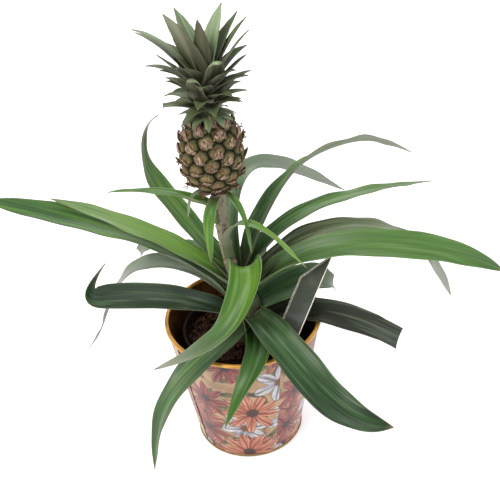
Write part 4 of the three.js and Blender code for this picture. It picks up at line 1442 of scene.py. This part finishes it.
@dataclass
class Crown:
    """The crown: leaves on a slim core, a drooping collar below and a tuft on top."""

    fruit: Fruit
    bottom: float = 0.3218
    core_height: float = 0.027
    leaves: int = 46
    spiral: tuple[int, int] = (8, 32)
    collar: int = 13
    seed: int = 11
    first_heading: float = 212.0
    section: Section = Section(0.0012, 0.0008, wave=0.0003, tooth=0.0004)
    root_share: float = 0.45
    point: float = 2.2
    named: tuple[Blade, ...] = (
        # The upward-facing back leaves get high shade keys as painted light: they are paler because they
        # face the light.
        Blade("crown_back_right", 0.345, (46,), (80, 68, 58), 0.062, 0.022, shade=(0.3, 0.7, 0.85)),
        Blade("crown_back_left", 0.345, (140,), (78, 66, 56), 0.0615, 0.022, shade=(0.3, 0.6, 0.75)),
        Blade("crown_high_left", 0.342, (195,), (72, 68, 60), 0.0675, 0.022, roll=(0, 45, 50),
              shade=(0.15, 0.5, 0.85)),
        Blade("crown_upright", 0.347, (246,), (84, 86, 84), 0.051, 0.018, shade=(0.3, 0.4, 0.4)),
        Blade("crown_far_right", 0.343, (35,), (74, 56, 46), 0.062, 0.017),
        Blade("crown_thin_right", 0.342, (15,), (66, 57, 46), 0.062, 0.013),
        Blade("crown_long_left", 0.338, (180,), (62, 53, 20), 0.075, 0.017, shade=(0.4, 0.7)),
        Blade("crown_second_left", 0.336, (172,), (61, 50, 25), 0.072, 0.016, shade=(0.4, 0.7)),
        Blade("crown_right", 0.338, (-15,), (62, 57, 46), 0.063, 0.017),
        Blade("crown_mid_left", 0.332, (192,), (60, 52, 44), 0.055, 0.018),
        Blade("crown_low_left", 0.330, (183,), (60, 46, 2), 0.058, 0.016),
        Blade("crown_hood_right", 0.333, (299,), (58, 70, 68, 56, -30), 0.050, 0.022, 4.0, fold=-25,
              shade=(0.3, 0.5, 0.8)),
        Blade("crown_hood_left", 0.3255, (243,), (42, 62, 70, 60, -40), 0.046, 0.019, 4.0, fold=-30,
              shade=(0.3, 0.5, 0.8)),
        Blade("crown_hood_low", 0.3235, (282,), (52, 62, 60, 40, -50), 0.024, 0.0125, 4.0, fold=-30,
              shade=(0.4, 0.6, 0.8)),
        Blade("crown_left_hook", 0.331, (162,), (48, 35, 10), 0.038, 0.014),
        Blade("crown_left_curl", 0.326, (160,), (36, 22, -25), 0.038, 0.013),
        Blade("crown_left_blunt", 0.325, (184,), (28, 16, -8), 0.035, 0.012, 8.0, blunt=0.6),
        Blade("crown_right_reach", 0.334, (-5,), (58, 48, 40), 0.048, 0.017),
        Blade("crown_right_arch", 0.330, (0,), (56, 38, 18), 0.044, 0.016),
        Blade("crown_right_short", 0.327, (20,), (50, 36, 24), 0.030, 0.013),
        Blade("crown_right_low", 0.327, (-8,), (50, 28, 0), 0.036, 0.013),
        Blade("crown_right_flat", 0.325, (-20,), (42, 28, 8), 0.031, 0.013),
    )

    def spiral_leaf(self, i: int, source: DrawSource) -> Blade:
        """Gives a leaf by its place in the spiral.

        Args:
            i: The leaf's number from below.
            source: The run of numbers, drawn from in a fixed order.

        Returns:
            The leaf.
        """
        t = i / (self.leaves - 1)
        spin = math.degrees(i * GOLDEN_ANGLE) + self.first_heading + 14 * (source.draw() - 0.5)
        root_rise = float(through((24, 40, 54, 64, 74, 84), t)) + 8 * (source.draw() - 0.5)
        tip_rise = float(through((-50, -30, -4, 12, 32, 66), t)) + 12 * (source.draw() - 0.5)
        length = float(through((0.026, 0.029, 0.036, 0.048, 0.058, 0.060), t))
        return Blade(
            f"crown_spiral_{i}", self.bottom + 0.0005 + (self.core_height - 0.0025) * t**1.3, (spin,),
            (root_rise, (root_rise * 1.5 + tip_rise) / 2.5, tip_rise),
            length * (0.92 + 0.14 * source.draw()), float(through((0.012, 0.015, 0.018, 0.019, 0.018), t)),
        )

    def collar_leaf(self, i: int, source: DrawSource) -> Blade:
        """Gives a short leaf of the collar over the fruit's shoulder."""
        heading = 188 + 360 / self.collar * i + 10 * (source.draw() - 0.5)
        rise = (18, 2 - 14 * source.draw(), -10 - 36 * source.draw())
        length = 0.0200 + 0.0085 * source.draw()
        return Blade(f"crown_collar_{i}", self.bottom + 0.0010, (heading,), rise, length, 0.0098,
                     shade=(0.2, 0.5, 0.6))

    def build(self) -> None:
        """Builds all crown leaves and their core as one piece."""
        source = DrawSource(self.seed)
        work = Patchwork("crown_leaves")
        axis = self.fruit.axis
        foot = self.bottom
        core = turned(np.array([
            [HUB, foot], [0.0095, foot], [0.0078, foot + 0.013], [0.0045, foot + 0.026], [HUB, foot + 0.027],
        ]), 32, axis)
        plain = {"along": 0.1, "edge": 0.005, "scurf": 0.0, "shade": 0.2}
        work.add_skin(core, unrolled(core, axis), plain, 1, (1, 1))
        blades = [self.spiral_leaf(i, source) for i in range(*self.spiral)]
        blades += [self.collar_leaf(i, source) for i in range(self.collar)]
        for blade in (*blades, *self.named):
            point = self.point if blade.point == Blade.point else blade.point
            shaped = replace(blade, root_share=self.root_share, point=point)
            shaped.add_to(work, np.array([*axis, blade.z]), 30, 8, self.section)
        settle(work.build(CROWN_LEAF.make()), Slot.CROWN, "crown")


@dataclass
class PlantLabel:
    """The plastic plant label: a tag with a slanted head over a pointed stake."""

    corner: tuple[float, float, float] = (0.034, -0.017, 0.133)
    across: tuple[float, float, float] = (0.65, -0.75, 0.13)
    up: tuple[float, float, float] = (0.45, 0.515, 0.73)
    width: float = 0.024
    left_side: float = 0.041
    right_side: float = 0.069
    thick: float = 0.0009
    stake: float = 0.008
    stake_length: float = 0.038
    slant: float = -0.005
    bevel: float = 0.0004
    rib_step: float = 0.0016
    rib_half: tuple[float, float, float] = (0.0013, 0.0006, 0.0005)
    border: float = 0.0013

    def place(self) -> Matrix:
        """Gives the tag's own frame: across, up and out of its face."""
        across = Vector(self.across).normalized()
        up = Vector(self.up).normalized()
        return standing(self.corner, across, up, across.cross(up).normalized())

    def outline(self, inset: float) -> np.ndarray:
        """Gives the tag's outline, drawn in by inset."""
        # The stake's slanted point, the right side, the slanted head and the left side.
        tail = -self.stake_length
        points = np.array([
            (self.slant, 0.007 + tail), (self.slant + 0.003, tail), (self.slant + self.stake, 0.006 + tail),
            (self.stake, -0.011), (self.width, -0.008), (self.width, self.right_side),
            (0, self.left_side), (0, -0.009),
        ])
        before, after = np.roll(points, 1, 0), np.roll(points, -1, 0)
        left_in, left_out = (
            np.stack([-way[:, 1], way[:, 0]], -1) / np.linalg.norm(way, axis=1, keepdims=True)
            for way in (points - before, after - points)
        )
        mitre = left_in + left_out
        mitre /= 1 + np.sum(left_in * left_out, axis=1, keepdims=True)
        return points + mitre * inset

    def rib(self) -> Object:
        """Builds one small rounded rib that lies across the border."""
        rib = small_ball("label_rib", LABEL_EDGE, 1.0, 2, lambda spot: spot * Vector(self.rib_half))
        rib.data.shade_smooth()  # A crumb keeps its flat faces, but this is moulded.
        return rib

    def build(self) -> None:
        """Builds the tag and the ribbed border on its face."""
        world = np.array(self.place())
        frame, corner = world[:3, :3].T, world[:3, 3]
        half = self.bevel / 2
        levels = ((self.bevel, 0.0), (0.0, half), (0.0, self.thick - half), (self.bevel, self.thick))
        flat = np.stack([self.outline(inset) for inset, _ in levels])
        height = np.array([level for _, level in levels])[:, None] + np.zeros(flat.shape[:2])
        rings = np.concatenate([flat, height[..., None]], -1)
        work = Patchwork("label_tag")
        work.add_skin(rings @ frame + corner, flat, finish=1, ends=(0, 0))
        settle(work.build([LABEL_FACE_AND_SHEEN.make(), LABEL_EDGE.make()], crease=20), Slot.LABEL, "label")
        # The border runs up the left side, then along the slanted head.
        turns = np.array([
            (self.border, -0.002), (self.border, self.left_side - 0.0004),
            (self.width - self.border, self.right_side - 0.0018),
        ])
        spots, ahead = [], []
        for start, stop in zip(turns[:-1], turns[1:]):
            count = int(np.linalg.norm(stop - start) / self.rib_step)
            step = np.array([*(stop - start) / count, 0.0])
            spots.append(np.array([*start, self.thick]) + step * (np.arange(count)[:, None] + 0.5))
            ahead.append(np.tile(step, (count, 1)))
        points = np.concatenate(spots) @ frame + corner
        ways = np.concatenate(ahead) @ frame
        settle(set_copies("label_border_ribs", points, world[:3, 2], ways, self.rib()), Slot.LABEL)


@dataclass
class Studio:
    """The floor, the soft lights and the camera at the photograph's angle."""

    focal: float = 59.04
    eye: tuple[float, float, float] = (0.010, -0.577, 0.582)
    pitch: float = 33.7
    roll: float = -3.7
    floor_size: float = 8.0
    lamps: tuple[tuple[str, tuple[float, float, float], float, float, str], ...] = (
        ("window_light", (-0.9, -0.9, 1.6), 1.0, 26.0, "#fffaf2"),
        ("fill_light", (1.3, -0.8, 1.0), 1.4, 9.0, "#f2f6ff"),
        ("back_light", (0.3, 1.4, 1.4), 1.2, 10.0, "#ffffff"),
    )

    def add_floor(self) -> None:
        """Adds the floor, a hair below the pot."""
        mesh = bpy.data.meshes.new("studio_floor")
        half = self.floor_size / 2
        corners = [(-half, -half), (half, -half), (half, half), (-half, half)]
        mesh.from_pydata([(x, y, -0.0002) for x, y in corners], [], [(0, 1, 2, 3)])
        mesh.materials.append(LIGHT_TABLE.make())
        floor = put("studio_floor", mesh)

    def add_light(self) -> None:
        """Adds an even sky, and soft square lamps that look at the plant."""
        world = bpy.data.worlds.new("soft_daylight")
        world.use_nodes = True
        sky = world.node_tree.nodes["Background"]
        sky.inputs["Color"].default_value = linear("#f3f6fb")
        sky.inputs["Strength"].default_value = 0.85
        bpy.context.scene.world = world
        for name, place, size, watts, colour in self.lamps:
            data = bpy.data.lights.new(name, "AREA")
            data.size, data.energy, data.color = size, watts, linear(colour)[:3]
            lamp = put(name, data)
            lamp.location = place
            aim = Vector((0, 0, 0.2)) - Vector(place)
            lamp.rotation_euler = aim.to_track_quat("-Z", "Y").to_euler()

    def add_camera(self) -> None:
        """Adds the camera, at the photograph's angle."""
        data = bpy.data.cameras.new("photograph_camera")
        data.lens, data.sensor_width = self.focal, 36.0
        camera = put("photograph_camera", data)
        down, lean = math.radians(self.pitch), math.radians(self.roll)
        ahead = Vector((0, math.cos(down), -math.sin(down)))
        right = Vector((1, 0, 0))
        up = Vector((0, math.sin(down), math.cos(down)))
        side = right * math.cos(lean) + up * math.sin(lean)
        top = up * math.cos(lean) - right * math.sin(lean)
        camera.matrix_world = standing(self.eye, side, top, -ahead)
        bpy.context.scene.camera = camera

    def build(self) -> None:
        """Builds the studio round the plant."""
        bpy.context.scene.view_settings.view_transform = "Standard"
        self.add_floor()
        self.add_light()
        self.add_camera()


def clear_start_scene() -> None:
    """Removes whatever the empty file came with."""
    for thing in list(bpy.data.objects):
        bpy.data.objects.remove(thing)


def main() -> None:
    """Builds the dressed plant and its studio."""
    logging.basicConfig(level=logging.INFO, format="%(message)s")
    clear_start_scene()
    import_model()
    Studio().build()
    CoverPot().build()
    liner = NurseryPot()
    liner.build()
    Peat(liner).build()
    stem = Stem()
    stem.build()
    Rosette(stem).build()
    fruit = Fruit()
    fruit.build()
    Crown(fruit).build()
    PlantLabel().build()


if __name__ == "__main__":
    main()
